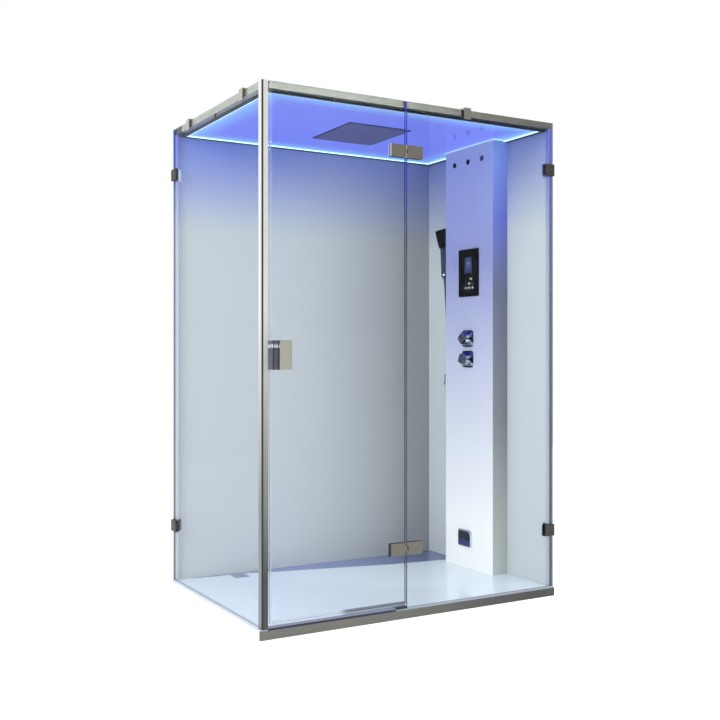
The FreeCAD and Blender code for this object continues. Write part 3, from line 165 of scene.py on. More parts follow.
def bump(material, height, strength, distance):
    """Feeds a height to the shader's normal through a Bump node."""
    node = add_node(material.node_tree, "ShaderNodeBump")
    feed_named(material.node_tree, node, Height=height, Strength=strength, Distance=distance)
    shade(material, Normal=node)


# %% Values that depend on the kind of ray
def rays(tree, *kinds):
    """1 for rays of the named kinds, 0 for all others."""
    path = add_node(tree, "ShaderNodeLightPath")
    flags = [path.outputs[f"Is {kind} Ray"] for kind in kinds]
    result = flags[0]
    for flag in flags[1:]:
        result = add_node(tree, "ShaderNodeMath", result, flag, operation="MAXIMUM").outputs[0]
    return result


def by_ray(tree, kinds, others, these):
    """The value others for most rays, and the value these for the named kinds."""
    node = add_node(tree, "ShaderNodeMapRange")
    return feed_named(tree, node, Value=rays(tree, *kinds), To_Min=others, To_Max=these)


# %% [markdown]
# A node group is a little function of its own. This class opens one with named inputs. The kind of
# an input follows from its default: one number is a value, three are a vector, four are a colour.
# Its methods add nodes and read the place on the object in metres.


# %% A shader node group
class Group:
    """A shader node group under construction; g["Low"] is its input called Low."""

    def __init__(self, name, **inputs):
        self.tree = bpy.data.node_groups.new(name, "ShaderNodeTree")
        for label, value in inputs.items():
            count = len(value) if isinstance(value, tuple) else 1
            kind = {1: "Float", 3: "Vector", 4: "Color"}[count]
            self.socket(label.replace("_", " "), "INPUT", kind).default_value = value
        self.inputs = self.tree.nodes.new("NodeGroupInput").outputs

    def __getitem__(self, name):
        return self.inputs[name]

    def socket(self, label, side, kind):
        return self.tree.interface.new_socket(label, in_out=side, socket_type="NodeSocket" + kind)

    def done(self, **outputs):
        """Makes and feeds the outputs, and gives the finished group."""
        for label in outputs:
            self.socket(label, "OUTPUT", "Color" if label == "Color" else "Float")
        feed_named(self.tree, self.tree.nodes.new("NodeGroupOutput"), **outputs)
        return self.tree

    def add(self, kind, *feeds, **settings):
        return add_node(self.tree, kind, *feeds, **settings)

    def math(self, operation, a, b=None):
        return self.add("ShaderNodeMath", a, b, operation=operation).outputs[0]

    def plus(self, a, b):
        return self.math("ADD", a, b)

    def minus(self, a, b):
        return self.math("SUBTRACT", a, b)

    def times(self, a, b):
        return self.math("MULTIPLY", a, b)

    def either(self, share, a, b):
        """a where share is 1, b where it is 0."""
        return self.plus(self.times(a, share), self.times(b, self.minus(1.0, share)))

    def place(self):
        """X, Y and Z of the surface point, in the object's own metres."""
        where = self.add("ShaderNodeTexCoord").outputs["Object"]
        return self.add("ShaderNodeSeparateXYZ", where).outputs

    def facing(self):
        """X, Y and Z of the surface's direction, turning with the piece."""
        direction = self.add("ShaderNodeTexCoord").outputs["Normal"]
        return self.add("ShaderNodeSeparateXYZ", direction).outputs

    def smooth(self, value, start, end):
        """0 before start, 1 after end, eased between."""
        return self.add("ShaderNodeMapRange", value, start, end,
                        interpolation_type="SMOOTHSTEP").outputs[0]

    def ramp(self, value, start, end):
        """0 before start, 1 after end, straight between."""
        return self.add("ShaderNodeMapRange", value, start, end).outputs[0]

    def against(self, axis, start, end):
        """Mask of what faces against an axis: the front faces against Y, the left against X."""
        return self.smooth(self.times(self.facing()[axis], -1.0), start, end)

    def blend(self, factor, a, b):
        """Mixes two colours; in a Mix node five other inputs lie before those of colour."""
        return self.add("ShaderNodeMix", factor, *[None] * 5, a, b, data_type="RGBA").outputs[2]

    def noise(self, scale, detail=2.0, stretch=None):
        """Noise over the object's metres, stretched by a vector."""
        where = self.add("ShaderNodeTexCoord").outputs["Object"]
        if stretch is not None:
            where = feed_named(self.tree, self.add("ShaderNodeMapping", where), Scale=stretch)
        node = self.add("ShaderNodeTexNoise", where)
        return feed_named(self.tree, node, Scale=scale, Detail=detail).outputs[0]


# %% [markdown]
# ## The glow from the ceiling
# The light strips cast violet light on the top of every surface and leave the lower part neutral.
# That coloured light fades with depth, and here it is painted into the colour. It is built once, as
# a group that mixes the paint, a middle tone and a painted glow by height, so that walls, column
# and post agree with each other. Some pieces also get painted shade from it, where less light
# reaches them.
# A second group has one short step: it stands for an edge in what a gloss piece mirrors.


# %% Group: painted light and shade that change with height
def paint_light_by_height():
    g = Group("paint_light_by_height", Paint=(0.5, 0.5, 0.5, 1), Middle=(0.4, 0.45, 0.6, 1),
              Glow=(0.2, 0.2, 0.7, 1), Low=1.0, Turn=1.7, High=2.15)
    z = g.place()["Z"]
    colour = g.blend(g.ramp(z, g["Low"], g["Turn"]), g["Paint"], g["Middle"])
    return g.done(Color=g.blend(g.ramp(z, g["Turn"], g["High"]), colour, g["Glow"]))


height_light = paint_light_by_height()


# %% Group: one tone below a height, another above it
def two_levels():
    g = Group("two_levels", Below=(0.2, 0.2, 0.4, 1), Above=(0.1, 0.1, 0.1, 1), Height=1.0,
              Softness=0.001)
    step = g.smooth(g.place()["Z"], g["Height"], g.plus(g["Height"], g["Softness"]))
    return g.done(Color=g.blend(step, g["Below"], g["Above"]))


levels = two_levels()

# %% [markdown]
# ## Clear glass
# Toughened panes, 8 mm thick. A pane only looks right if light can pass it, but a path tracer
# doesn't let a lamp shine straight through a refracting body. So shadow and diffuse rays see the
# pane as plainly transparent, and the eye sees the refracting shader. Its index is far below that
# of glass, because a white studio mirrored in six pane faces would veil the cabin. What tells that
# a pane is there is its edge: light that runs along the inside of a pane comes out bluish grey, so
# the narrow faces get that tint.


# %% Group: tint of the broad faces and of the narrow edges
def edge_tint():
    g = Group("edge_tint", Face=(0.97, 0.99, 0.99, 1), Edge=(0.3, 0.4, 0.6, 1), Across_X=0.0)
    x, y, _ = g.facing()
    across = g.either(g["Across X"], g.math("ABSOLUTE", x), g.math("ABSOLUTE", y))
    return g.done(Color=g.blend(g.smooth(across, 0.4, 0.7), g["Edge"], g["Face"]))


tint = edge_tint()


# %% Glass that lets the light in
def clear_glass(name, across_x):
    """Across_x is 1 where the pane's broad faces look along X, 0 where they look along Y."""
    pane = (0.97, 0.985, 0.985, 1)
    material = finish(name, pane, 0.0, IOR=1.07, Transmission_Weight=1.0)
    tree = material.node_tree
    shade(material, Base_Color=place_group(material, tint, Across_X=across_x,
                                           Edge=seen(60, 68, 98)))
    through = feed_named(tree, add_node(tree, "ShaderNodeBsdfTransparent"), Color=pane)
    mix = add_node(tree, "ShaderNodeMixShader", rays(tree, "Shadow", "Diffuse"),
                   shader_of(material), through)
    feed_named(tree, tree.nodes["Material Output"], Surface=mix)
    return material


wear(clear_glass("side_glass", 1.0), "left_glass")
wear(clear_glass("front_glass", 0.0), "fixed_glass", "door_glass")

# %% [markdown]
# ## Clear seals
# The strips along the door are soft clear plastic, mostly see-through, so they are made with alpha.
# At the door's free edge the strip is hardly seen against the bright wall. At the joint with the
# fixed pane its colour is painted dark, for the dark of both pane edges seen through it, and the
# glow of the ceiling is painted into its upper part.


# %% Group: seal at the joint of the panes, or at the door's free edge
def seal_tone():
    g = Group("seal_tone", Joint=(0.1, 0.1, 0.1, 1), Edge=(0.6, 0.6, 0.7, 1), Joint_Alpha=0.3,
              Edge_Alpha=0.04, Turn=-0.4)
    joint = g.smooth(g.place()["X"], g["Turn"], g.plus(g["Turn"], 0.05))
    more = g.times(joint, g.minus(g["Joint Alpha"], g["Edge Alpha"]))
    return g.done(Color=g.blend(joint, g["Edge"], g["Joint"]), Alpha=g.plus(g["Edge Alpha"], more))


# %% Seal plastic
seal_plastic = finish("seal_plastic", seen(150, 158, 180), 0.3, Specular_IOR_Level=0.1)
# The joint tone is painted: a darkening for the pane edges seen through it, and the ceiling's
# violet glow painted into its upper part.
joint_tone = place_group(seal_plastic, height_light, Paint=seen(84, 90, 104), Middle=seen(72, 78, 96),
                         Glow=seen(66, 66, 196), Low=0.6, Turn=1.6, High=2.0)
seal = place_group(seal_plastic, seal_tone(), Joint=joint_tone, Edge=seen(205, 212, 228))
shade(seal_plastic, Base_Color=seal, Alpha=seal.outputs["Alpha"])
wear(seal_plastic, "door_edge_seals", "door_drip_seal", "strike_seal")

# %% [markdown]
# ## Painted walls
# Back and right panels are smooth painted sheet in a cool grey. The back panel falls from light on
# the left to darker on the right, as the light reaches less of it, so its tone is worked from the
# place along X. Both panels turn violet over the last half metre below the ceiling. Their outer
# sides never meet that glow, so a mask of the surface's direction keeps them plain grey.


# %% Group: a fall of tone along a wall
def wall_fall():
    g = Group("wall_fall", Light=(0.5, 0.55, 0.6, 1), Dark=(0.3, 0.35, 0.4, 1), Start=-0.15,
              End=0.6)
    share = g.ramp(g.place()["X"], g["Start"], g["End"])
    return g.done(Color=g.blend(share, g["Light"], g["Dark"]), Height=g.noise(40.0, 3.0))


fall = wall_fall()


# %% Group: the outer side of a wall
def outer_side():
    g = Group("outer_side", Inside=(0.5, 0.5, 0.5, 1), Outside=seen(176, 180, 184), Along_X=0.0)
    x, y, _ = g.facing()
    mask = g.smooth(g.either(g["Along X"], x, y), 0.4, 0.9)
    return g.done(Color=g.blend(mask, g["Inside"], g["Outside"]))


outer = outer_side()


# %% Wall paint
def wall_paint(name, low, middle, glow, along_x=0.0):
    """Each of low, middle and glow is a pair of tones, on the left and on the right."""
    material = finish(name, low[0], 0.45, Specular_IOR_Level=0.15)
    paint = place_group(material, fall, Light=low[0], Dark=low[1])
    band = place_group(material, fall, Light=middle[0], Dark=middle[1])
    top = place_group(material, fall, Light=glow[0], Dark=glow[1], Start=-0.45, End=0.1)
    lit = place_group(material, height_light, Paint=paint, Middle=band, Glow=top, Low=1.3, Turn=1.72,
                      High=2.2)
    shade(material, Base_Color=place_group(material, outer, Inside=lit, Along_X=along_x))
    bump(material, paint.outputs["Height"], 0.01, 0.001)
    return material


def even(red, green, blue):
    """A pair of tones for a wall that doesn't fall off."""
    return (seen(red, green, blue),) * 2


back_paint = wall_paint("back_paint", (seen(183, 188, 194), seen(160, 163, 164)),
                        (seen(185, 192, 197), seen(171, 174, 171)),
                        (seen(103, 127, 224), seen(133, 149, 215)))
right_paint = wall_paint("right_paint", even(205, 210, 214), even(210, 215, 218),
                         even(130, 146, 216), along_x=1.0)
wear(back_paint, "back_panel")
wear(right_paint, "right_panel")

# %% [markdown]
# ## The service column
# The column's cover is painted white, but the ceiling turns its upper half violet blue. Only the
# last metre shows the white. Its narrow front side gets far less light, so it has its own darker
# run of tones. A mask of the surface's direction chooses between the two, and the same mask gives
# the right panel the slate edge that it shows at the front.


# %% Group: one tone for the front side, one for the rest
def two_sided():
    g = Group("two_sided", Face=(0.5, 0.5, 0.5, 1), Front=(0.2, 0.2, 0.2, 1))
    return g.done(Color=g.blend(g.against("Y", 0.4, 0.9), g["Face"], g["Front"]))


sides = two_sided()

# %% Column paint
column_paint = finish("column_paint", seen(232, 243, 250), 0.4, Specular_IOR_Level=0.2)
face = place_group(column_paint, height_light, Paint=seen(255, 255, 252), Middle=seen(153, 158, 210),
                   Glow=seen(176, 189, 255), Low=0.25, Turn=1.6, High=2.15)
front = place_group(column_paint, height_light, Paint=seen(198, 201, 196), Middle=seen(139, 141, 146),
                    Glow=seen(112, 116, 144), Low=0.0, Turn=0.8, High=1.45)
front_top = place_group(column_paint, height_light, Paint=front, Middle=seen(115, 128, 214),
                        Glow=seen(153, 177, 255), Low=1.45, Turn=1.8, High=2.1)
shade(column_paint, Base_Color=place_group(column_paint, sides, Face=face, Front=front_top))
wear(column_paint, "column_shell")

# %% Slate edge of the right panel
# Painted light: the upper part of the slate edge gets the ceiling's violet glow.
slate = place_group(right_paint, height_light, Paint=seen(78, 80, 86), Middle=seen(82, 87, 100),
                    Glow=seen(74, 80, 160), Low=0.6, Turn=1.55, High=2.1)
slate_top = place_group(right_paint, levels, Below=slate, Above=seen(88, 88, 82), Height=2.168,
                        Softness=0.004)
plain = shader_of(right_paint).inputs["Base Color"].links[0].from_node
shade(right_paint, Base_Color=place_group(right_paint, sides, Face=plain, Front=slate_top))

# %% [markdown]
# ## The lit ceiling
# A gloss sheet between the rails, lit from its rim. Near the rim it is almost white cyan, and
# within a hand's width it turns violet blue. The distance to the nearest rim gives that: it is the
# smallest of four distances, and two smooth steps mix three colours. Where the service column
# meets the sheet there is one more bright line. The strips light the cabin less than they show,
# so their strength for diffuse rays is lower.


# %% Group: glow from a rim
def rim_glow():
    g = Group("rim_glow", Rim=seen(190, 240, 255), Near=seen(130, 175, 255),
              Middle=seen(112, 126, 246), Low_X=-0.7, High_X=0.73, Low_Y=-0.47, High_Y=0.5,
              Reach=0.16)
    x, y, _ = g.place()
    nearest = g.math("SMOOTH_MIN", g.minus(x, g["Low X"]), g.minus(g["High X"], x))
    for gap in (g.minus(y, g["Low Y"]), g.minus(g["High Y"], y)):
        nearest = g.math("MINIMUM", nearest, gap)
    first = g.smooth(nearest, 0.0, g.times(g["Reach"], 0.45))
    second = g.smooth(nearest, g.times(g["Reach"], 0.3), g["Reach"])
    colour = g.blend(second, g.blend(first, g["Rim"], g["Near"]), g["Middle"])
    column_x, column_half, soft = 0.626, 0.225, 0.01
    beside = g.smooth(g.math("ABSOLUTE", y), column_half, column_half - soft)
    line = g.times(g.smooth(x, column_x, column_x + soft), beside)
    return g.done(Color=g.blend(line, colour, g["Rim"]))


# %% Ceiling, light strips and trim
ceiling_gloss = finish("ceiling_gloss", (0.01, 0.01, 0.02, 1), 0.05, Specular_IOR_Level=0.4)
shade(ceiling_gloss, Emission_Color=place_group(ceiling_gloss, rim_glow()))
strip_light = finish("strip_light", seen(200, 240, 255), 0.4, Emission_Color=seen(190, 238, 255))
for lamp, looked_at, on_others in ((ceiling_gloss, 0.8, 0.3), (strip_light, 1.2, 0.5)):
    shade(lamp, Emission_Strength=by_ray(lamp.node_tree, ["Diffuse"], looked_at, on_others))
wear(ceiling_gloss, "ceiling_panel")
wear(strip_light, "led_strips")
wear(finish("trim_metal", seen(10, 15, 32), 0.35, 0.6), "ceiling_trim")

# %% [markdown]
# ## Brushed steel
# Post, rails, clips, plinth, hinges and clamps are all brushed. Brushing is many fine scratches
# along the piece: noise that is squeezed hard across the brushing and hardly along it. The group
# gives both the scratch tone and the height for a bump, and each material says which way it was
# brushed. A piece may have its own tone on the left side: a painted reflection of another part of
# the room. Front rail and plinth darken to the right with painted shade, as less light reaches
# them, and post, hinges and inner clamps get painted light and shade from groups that change with
# height.


# %% Group: brushing, a painted fall of light along X, and a painted reflection on the left side
def brushing():
    g = Group("brushing", Bright=(0.6, 0.6, 0.6, 1), Dull=(0.3, 0.3, 0.3, 1), Grain=(1, 1, 1),
              Fall_Start=5.0, Fall_End=6.0, Scratch=0.25, Side_Tone=(0.6, 0.6, 0.6, 1), Side=0.0)
    fallen = g.smooth(g.place()["X"], g["Fall Start"], g["Fall End"])
    tone = g.blend(fallen, g["Bright"], g["Dull"])
    tone = g.blend(g.times(g.against("X", 0.3, 0.8), g["Side"]), tone, g["Side Tone"])
    lines = g.noise(900.0, 2.0, g["Grain"])
    dark = g.times(g.smooth(lines, 0.35, 0.75), g["Scratch"])
    return g.done(Color=g.blend(dark, tone, (0.05, 0.05, 0.05, 1)),
                  Roughness=g.plus(0.26, g.times(lines, 0.22)), Height=lines)


brush = brushing()


# %% Brushed material
def brushed(name, bright, dull=None, grain=(1, 1, 1), fall_at=(5, 6), side=None, scratch=0.25):
    """Grain is squeezed where it is large: (1, 1, 0.01) runs along Z. No piece reaches X = 5. The
    dull tone is painted shade at the far end of the fall, and side is a painted reflection.
    """
    material = finish(name, bright, 0.35, 0.85)
    node = place_group(material, brush, Bright=bright, Dull=dull or bright, Grain=grain,
                       Fall_Start=fall_at[0], Fall_End=fall_at[1], Scratch=scratch,
                       Side_Tone=side or bright, Side=1.0 if side else 0.0)
    shade(material, Base_Color=node, Roughness=node.outputs["Roughness"])
    bump(material, node.outputs["Height"], 0.06, 0.0005)
    return material


def retone(material, tone, group, **values):
    """Feeds one tone of a material's first group from another group."""
    node = place_group(material, group, **values)
    feed_named(material.node_tree, first_group(material), **{tone: node})


# %% Post, rails and plinth
# The post gets painted shade low down and painted light towards its top. The left rail is a lighter
# copy of the rail steel, painted light where it faces the key lamp.
post_steel = brushed("post_steel", seen(150, 152, 148), grain=(1, 1, 0.01),
                     side=seen(228, 230, 226), scratch=0.12)
retone(post_steel, "Bright", height_light, Paint=seen(74, 80, 80), Middle=seen(140, 145, 140),
       Glow=seen(214, 216, 210), Low=0.24, Turn=0.75, High=1.33)
retone(post_steel, "Side Tone", height_light, Paint=seen(130, 134, 132), Middle=seen(176, 178, 176),
       Glow=seen(242, 244, 242), Low=0.5, Turn=0.75, High=1.33)
wear(post_steel, "corner_post")
wear(brushed("front_rail_steel", seen(134, 136, 129), seen(84, 84, 77), grain=(0.01, 1, 1),
             fall_at=(-0.7, 0.5)), "header_front")
wear(brushed("left_rail_steel", seen(196, 197, 188), grain=(1, 0.01, 1)), "header_left")
wear(brushed("clip_steel", seen(124, 124, 114), grain=(1, 1, 0.1), side=seen(196, 196, 188)),
     "header_clips")
wear(brushed("plinth_steel", seen(118, 118, 112), seen(84, 85, 82), grain=(0.01, 1, 1),
             fall_at=(-0.4, 0.7)), "plinth_strip")

# %% Hinges, clamps and sills
# Above the height between the hinges, the hinges' left side and the inner clamps are painted
# lighter: a painted reflection that the lower ones don't get.
between_hinges = 1.1
hinge_steel = brushed("hinge_steel", seen(112, 110, 101), grain=(0.02, 1, 1),
                      side=seen(190, 198, 214))
retone(hinge_steel, "Side Tone", levels, Below=seen(84, 88, 92), Above=seen(238, 240, 246),
       Height=between_hinges)
inner_clamp_steel = brushed("inner_clamp_steel", seen(86, 94, 104), grain=(1, 1, 0.05))
retone(inner_clamp_steel, "Bright", levels, Below=seen(84, 92, 102), Above=seen(164, 174, 196),
       Height=between_hinges)
wear(hinge_steel, "hinge_fixed", "hinge_moving")
wear(brushed("pin_steel", seen(36, 36, 38)), "hinge_pins")
wear(brushed("clamp_steel", seen(68, 65, 61), grain=(1, 1, 0.05), side=seen(42, 44, 48)),
     "clamps_outer")
wear(inner_clamp_steel, "clamps_inner")
wear(brushed("sill_steel", seen(158, 165, 178), grain=(0.05, 0.05, 1), scratch=0.1,
             side=seen(224, 230, 236)), "glass_sills")
wear(finish("screw_steel", seen(80, 78, 74), 0.35, 1.0), "clamp_screws")

# %% [markdown]
# ## Dark metal, rubber and light channels
# Behind the glass stand channels and black gaskets. They are the thin outlines of the cabin. A
# moulded rubber has a fine pebble, so its roughness and bump come from a dense noise. The same
# group serves for the cast and rolled pieces behind the column and above the ceiling, each with
# its own range.


# %% Group: fine pebble of moulded and cast pieces
def pebble():
    g = Group("pebble", Scale=900.0, Low=0.4, High=0.7)
    height = g.noise(g["Scale"], 4.0)
    more = g.times(height, g.minus(g["High"], g["Low"]))
    return g.done(Roughness=g.plus(g["Low"], more), Height=height)


grain = pebble()


# %% Moulded material
def moulded(name, colour, low=0.4, high=0.7, scale=900.0, **sockets):
    """Low and high are the ends of its roughness."""
    material = finish(name, colour, low, **sockets)
    node = place_group(material, grain, Scale=scale, Low=low, High=high)
    shade(material, Roughness=node.outputs["Roughness"])
    bump(material, node.outputs["Height"], 0.08, 0.0004)
    return material


wear(moulded("black_rubber", seen(26, 26, 34)), "corner_gasket", "header_bumpers")
wear(moulded("dark_metal", seen(60, 62, 74), 0.25, 0.45, metallic=0.7), "header_end_bracket")
wear(moulded("grey_plastic", seen(96, 98, 102)), "control_box", "drain_body")
wear(moulded("roof_paint", seen(205, 208, 212), 0.35, 0.5, 300.0), "roof_cover")
wear(moulded("raw_aluminium", seen(178, 180, 184), 0.3, 0.45, metallic=0.9), "column_rails")
wear(moulded("tank_steel", seen(150, 152, 156), 0.25, 0.4, metallic=1.0),
     "steam_generator", "rain_head_body")
wear(moulded("pipe_brass", seen(190, 160, 96), 0.25, 0.45, metallic=1.0),
     "supply_pipes", "steam_pipe", "mixer_body")

# %% Wall channels with painted ceiling glow at the top; the right one shows a dark front
channel_paint = finish("channel_paint", seen(180, 188, 200), 0.4)
rear_paint = finish("rear_paint", seen(180, 188, 200), 0.4)
for paint in (channel_paint, rear_paint):
    shade(paint, Base_Color=place_group(paint, height_light, Paint=seen(184, 190, 202),
                                        Middle=seen(176, 184, 202), Glow=seen(112, 122, 205),
                                        Low=0.6, Turn=1.7, High=2.1))
channel_front = place_group(channel_paint, height_light, Paint=seen(104, 108, 118),
                            Middle=seen(98, 103, 120), Glow=seen(84, 90, 166),
                            Low=0.6, Turn=1.55, High=2.1)
shade(channel_paint, Base_Color=place_group(channel_paint, sides, Face=first_group(channel_paint),
                                            Front=channel_front))
wear(channel_paint, "right_channel")
wear(rear_paint, "rear_channel")

# %% [markdown]
# ## Keys
# The keys of the touch panel are small lit signs on black glass. All are white but one, which is
# unlit and shows a dull red. A group picks it out by its row and by its side of the panel.


# %% Group: the keys are lit, all but one
def key_lamps():
    g = Group("key_lamps", Lit=(1, 1, 1, 1), Dim=(0.1, 0.02, 0.02, 1), Side=-0.02, Row=1.482,
              Half_Height=0.01)
    _, y, z = g.place()
    in_row = g.math("LESS_THAN", g.math("ABSOLUTE", g.minus(z, g["Row"])), g["Half Height"])
    mask = g.times(g.math("LESS_THAN", y, g["Side"]), in_row)
    return g.done(Color=g.blend(mask, g["Lit"], g["Dim"]))


key_light = finish("key_light", seen(20, 20, 24), 0.3, Emission_Strength=1.4)
shade(key_light, Emission_Color=place_group(key_light, key_lamps(), Lit=seen(250, 252, 255),
                                            Dim=seen(70, 30, 34)))
wear(key_light, "control_keys")

# %% [markdown]
# ## Chrome
# Chrome has no colour of its own: it shows the room. In a white studio it would be plain white, but
# the real pieces show dark cards and bright windows. The group gives each direction of the surface
# a tone, for its front, its sides and its top, with a few soft windows, so it also holds in export.
# Two more groups add what single pieces mirror: the handle's bright window near its upper end, and
# the blue and dark bands round the square base of each tap.


# %% Group: studio cards seen in chrome
def studio_cards():
    g = Group("studio_cards", Front=(0.5, 0.5, 0.5, 1), Side=(0.1, 0.1, 0.12, 1),
              Top=(0.3, 0.3, 0.7, 1), Window=(0.95, 0.95, 1, 1), Window_Size=30.0,
              Window_Share=0.6)
    tone = g.blend(g.against("Y", 0.15, 0.75), g["Side"], g["Front"])
    tone = g.blend(g.smooth(g.facing()["Z"], 0.1, 0.8), tone, g["Top"])
    spot = g.smooth(g.noise(g["Window Size"], 1.0), g["Window Share"],
                    g.plus(g["Window Share"], 0.04))
    return g.done(Color=g.blend(spot, tone, g["Window"]))


cards = studio_cards()


# %% Chrome material
def chrome(name, front, side, top, window=(0.95, 0.95, 1, 1), size=30.0, share=0.6,
           roughness=0.12):
    """The larger the share, the fewer the windows."""
    material = finish(name, front, roughness, 1.0)
    shade(material, Base_Color=place_group(material, cards, Front=front, Side=side, Top=top,
                                           Window=window, Window_Size=size, Window_Share=share))
    return material


# %% Group: a bright window mirrored near the top of the handle's side
def mirrored_window():
    g = Group("mirrored_window", Tone=(0.3, 0.3, 0.3, 1), Window=seen(232, 232, 250), Low=1.146,
              High=1.162, Size=70.0)
    z = g.place()["Z"]
    band = g.times(g.smooth(z, g["Low"], g.plus(g["Low"], 0.004)),
                   g.smooth(z, g.plus(g["High"], 0.003), g["High"]))
    spots = g.smooth(g.noise(g["Size"], 1.0), 0.44, 0.48)
    mask = g.times(g.times(band, g.against("X", 0.5, 0.8)), spots)
    return g.done(Color=g.blend(mask, g["Tone"], g["Window"]))


# %% Handle
handle_chrome = chrome("handle_chrome", seen(168, 168, 157), seen(80, 81, 94), seen(176, 177, 178),
                       size=26.0, share=0.9, roughness=0.25)
shade(handle_chrome, Base_Color=place_group(handle_chrome, mirrored_window(),
                                            Tone=first_group(handle_chrome)))
wear(handle_chrome, "handle_outer", "handle_inner")


# %% Group: bands of light round the square base of each tap
def tap_bands():
    g = Group("tap_bands", Tone=(0.5, 0.5, 0.5, 1), Blue=seen(58, 66, 150), Dark=seen(34, 38, 50),
              Lower=1.100, Upper=1.204, Middle_Y=0.014)
    _, y, z = g.place()
    upper = g.math("GREATER_THAN", z, g.times(g.plus(g["Lower"], g["Upper"]), 0.5))
    centre = g.plus(g["Lower"], g.times(upper, g.minus(g["Upper"], g["Lower"])))
    up = g.minus(z, centre)
    wedge = g.minus(g.minus(g["Middle Y"], y), g.math("ABSOLUTE", up))
    colour = g.blend(g.smooth(up, 0.018, 0.024), g["Tone"], g["Blue"])
    for where, start, end in ((up, 0.034, 0.038), (wedge, 0.020, 0.024), (up, -0.032, -0.036)):
        colour = g.blend(g.smooth(where, start, end), colour, g["Dark"])
    return g.done(Color=colour)


# %% Taps
tap_chrome = chrome("tap_chrome", seen(176, 182, 196), seen(164, 170, 186), seen(100, 110, 200),
                    size=60.0, share=0.66, roughness=0.3)
shade(tap_chrome, Base_Color=place_group(tap_chrome, tap_bands(), Tone=first_group(tap_chrome)))
wear(tap_chrome, "valve_bodies")
wear(chrome("knob_chrome", seen(112, 114, 130), seen(104, 104, 120), seen(110, 116, 150),
            size=40.0, share=0.8), "knob_upper", "knob_lower")

# %% Other chrome pieces
wear(chrome("small_chrome", seen(190, 195, 210), seen(120, 122, 140), seen(170, 176, 230),
            size=120.0, share=0.58), "outlet_elbow")
wear(chrome("dark_chrome", seen(50, 56, 76), seen(36, 44, 64), seen(70, 78, 108),
            size=110.0, share=0.66), "handset_holder", "hose_nut_upper")
wear(chrome("jet_chrome", seen(36, 34, 52), seen(24, 23, 34), seen(52, 50, 84),
            window=seen(80, 76, 140), size=110.0, share=0.6), "spray_nozzles")
wear(chrome("outlet_rim", seen(216, 222, 232), seen(222, 228, 236), seen(160, 168, 196),
            share=0.95), "steam_outlet")
wear(chrome("threshold_steel", seen(60, 63, 74), seen(80, 84, 98), seen(150, 156, 184),
            share=0.95, roughness=0.3), "threshold")

# %% [markdown]
# ## Tray
# A white acrylic shower tray, smooth and slightly wet-looking. Along the back wall it carries a
# painted violet band of shade, where only the violet light of the ceiling reaches: a long wedge
# that narrows to the left, a thin strip that goes on along the rim, and a notch where the wedge
# ends.
# Each edge of the band is a straight line over X and Y, so a sum and a smooth step place it. Only
# faces that look up get the band. The bare acrylic is painted lighter towards the right, and the
# front skirt gets painted shade.


# %% Group: painted violet band of shade on the tray
def tray_band():
    g = Group("tray_band", Acrylic=seen(224, 234, 252), Far_Acrylic=seen(236, 245, 255),
              Skirt=seen(150, 158, 176), Left=seen(125, 139, 166), Middle=seen(130, 142, 190),
              Right=seen(103, 115, 163), Slope=0.208, Edge=0.376, Strip_Slope=0.075,
              Strip_Edge=0.432, Softness=0.014)
    x, y, _ = g.place()

    def beyond(slope, edge):
        """1 behind a line that slants over X."""
        return g.smooth(g.plus(y, g.times(x, slope)), edge, g.plus(edge, g["Softness"]))

    wedge = g.times(beyond(g["Slope"], g["Edge"]), g.smooth(x, -0.37, -0.34))
    strip = g.times(beyond(g["Strip Slope"], g["Strip Edge"]), g.smooth(x, -0.66, -0.63))
    notch = g.times(g.smooth(x, -0.466, -0.452), g.smooth(x, -0.372, -0.392))
    notch = g.times(notch, g.smooth(y, 0.392, 0.404))
    band = g.math("MAXIMUM", wedge, g.math("MAXIMUM", strip, notch))
    band = g.times(band, g.smooth(g.facing()["Z"], 0.3, 0.6))
    tone = g.blend(g.smooth(x, -0.55, -0.1), g["Left"], g["Middle"])
    tone = g.blend(g.smooth(x, 0.1, 0.62), tone, g["Right"])
    # Painted shade on the tray's front face, and painted light that makes the bare acrylic lighter
    # to the right.
    skirt = g.times(g.against("Y", 0.5, 0.8), g.smooth(y, -0.49, -0.50))
    bare = g.blend(g.smooth(x, -0.5, 0.3), g["Acrylic"], g["Far Acrylic"])
    bare = g.blend(skirt, bare, g["Skirt"])
    return g.done(Color=g.blend(band, bare, tone),
                  Roughness=g.plus(0.16, g.times(g.noise(3.0, 3.0), 0.12)),
                  Height=g.noise(500.0, 2.0))


# %% Tray material
acrylic = finish("tray_acrylic", seen(222, 232, 246), 0.2, Coat_Weight=0.2, Coat_Roughness=0.05)
tray_tone = place_group(acrylic, tray_band())
shade(acrylic, Base_Color=tray_tone, Roughness=tray_tone.outputs["Roughness"])
bump(acrylic, tray_tone.outputs["Height"], 0.02, 0.0005)
wear(acrylic, "tray", "drain_cover")

# %% [markdown]
# ## Touch panel, outlet mirror and handset
# The panel is black glass. Its display is a dark blue that is a little lighter in the middle. The
# steam outlet holds a dark mirror, with a painted violet reflection in its lower part. The handset
# has a dull violet grey grip, lighter in its upper part, and a head that is nearly black. The
# two-level group, used twice, gives its three tones.


# %% Group: a soft light patch around a place
def soft_patch():
    g = Group("soft_patch", Inner=(0.1, 0.1, 0.3, 1), Outer=(0.02, 0.02, 0.05, 1),
              Centre=(0, 0, 0), Reach=0.03)
    where = g.add("ShaderNodeTexCoord").outputs["Object"]
    gap = g.add("ShaderNodeVectorMath", where, g["Centre"], operation="DISTANCE").outputs[1]
    return g.done(Color=g.blend(g.smooth(gap, 0.0, g["Reach"]), g["Inner"], g["Outer"]))


patch = soft_patch()


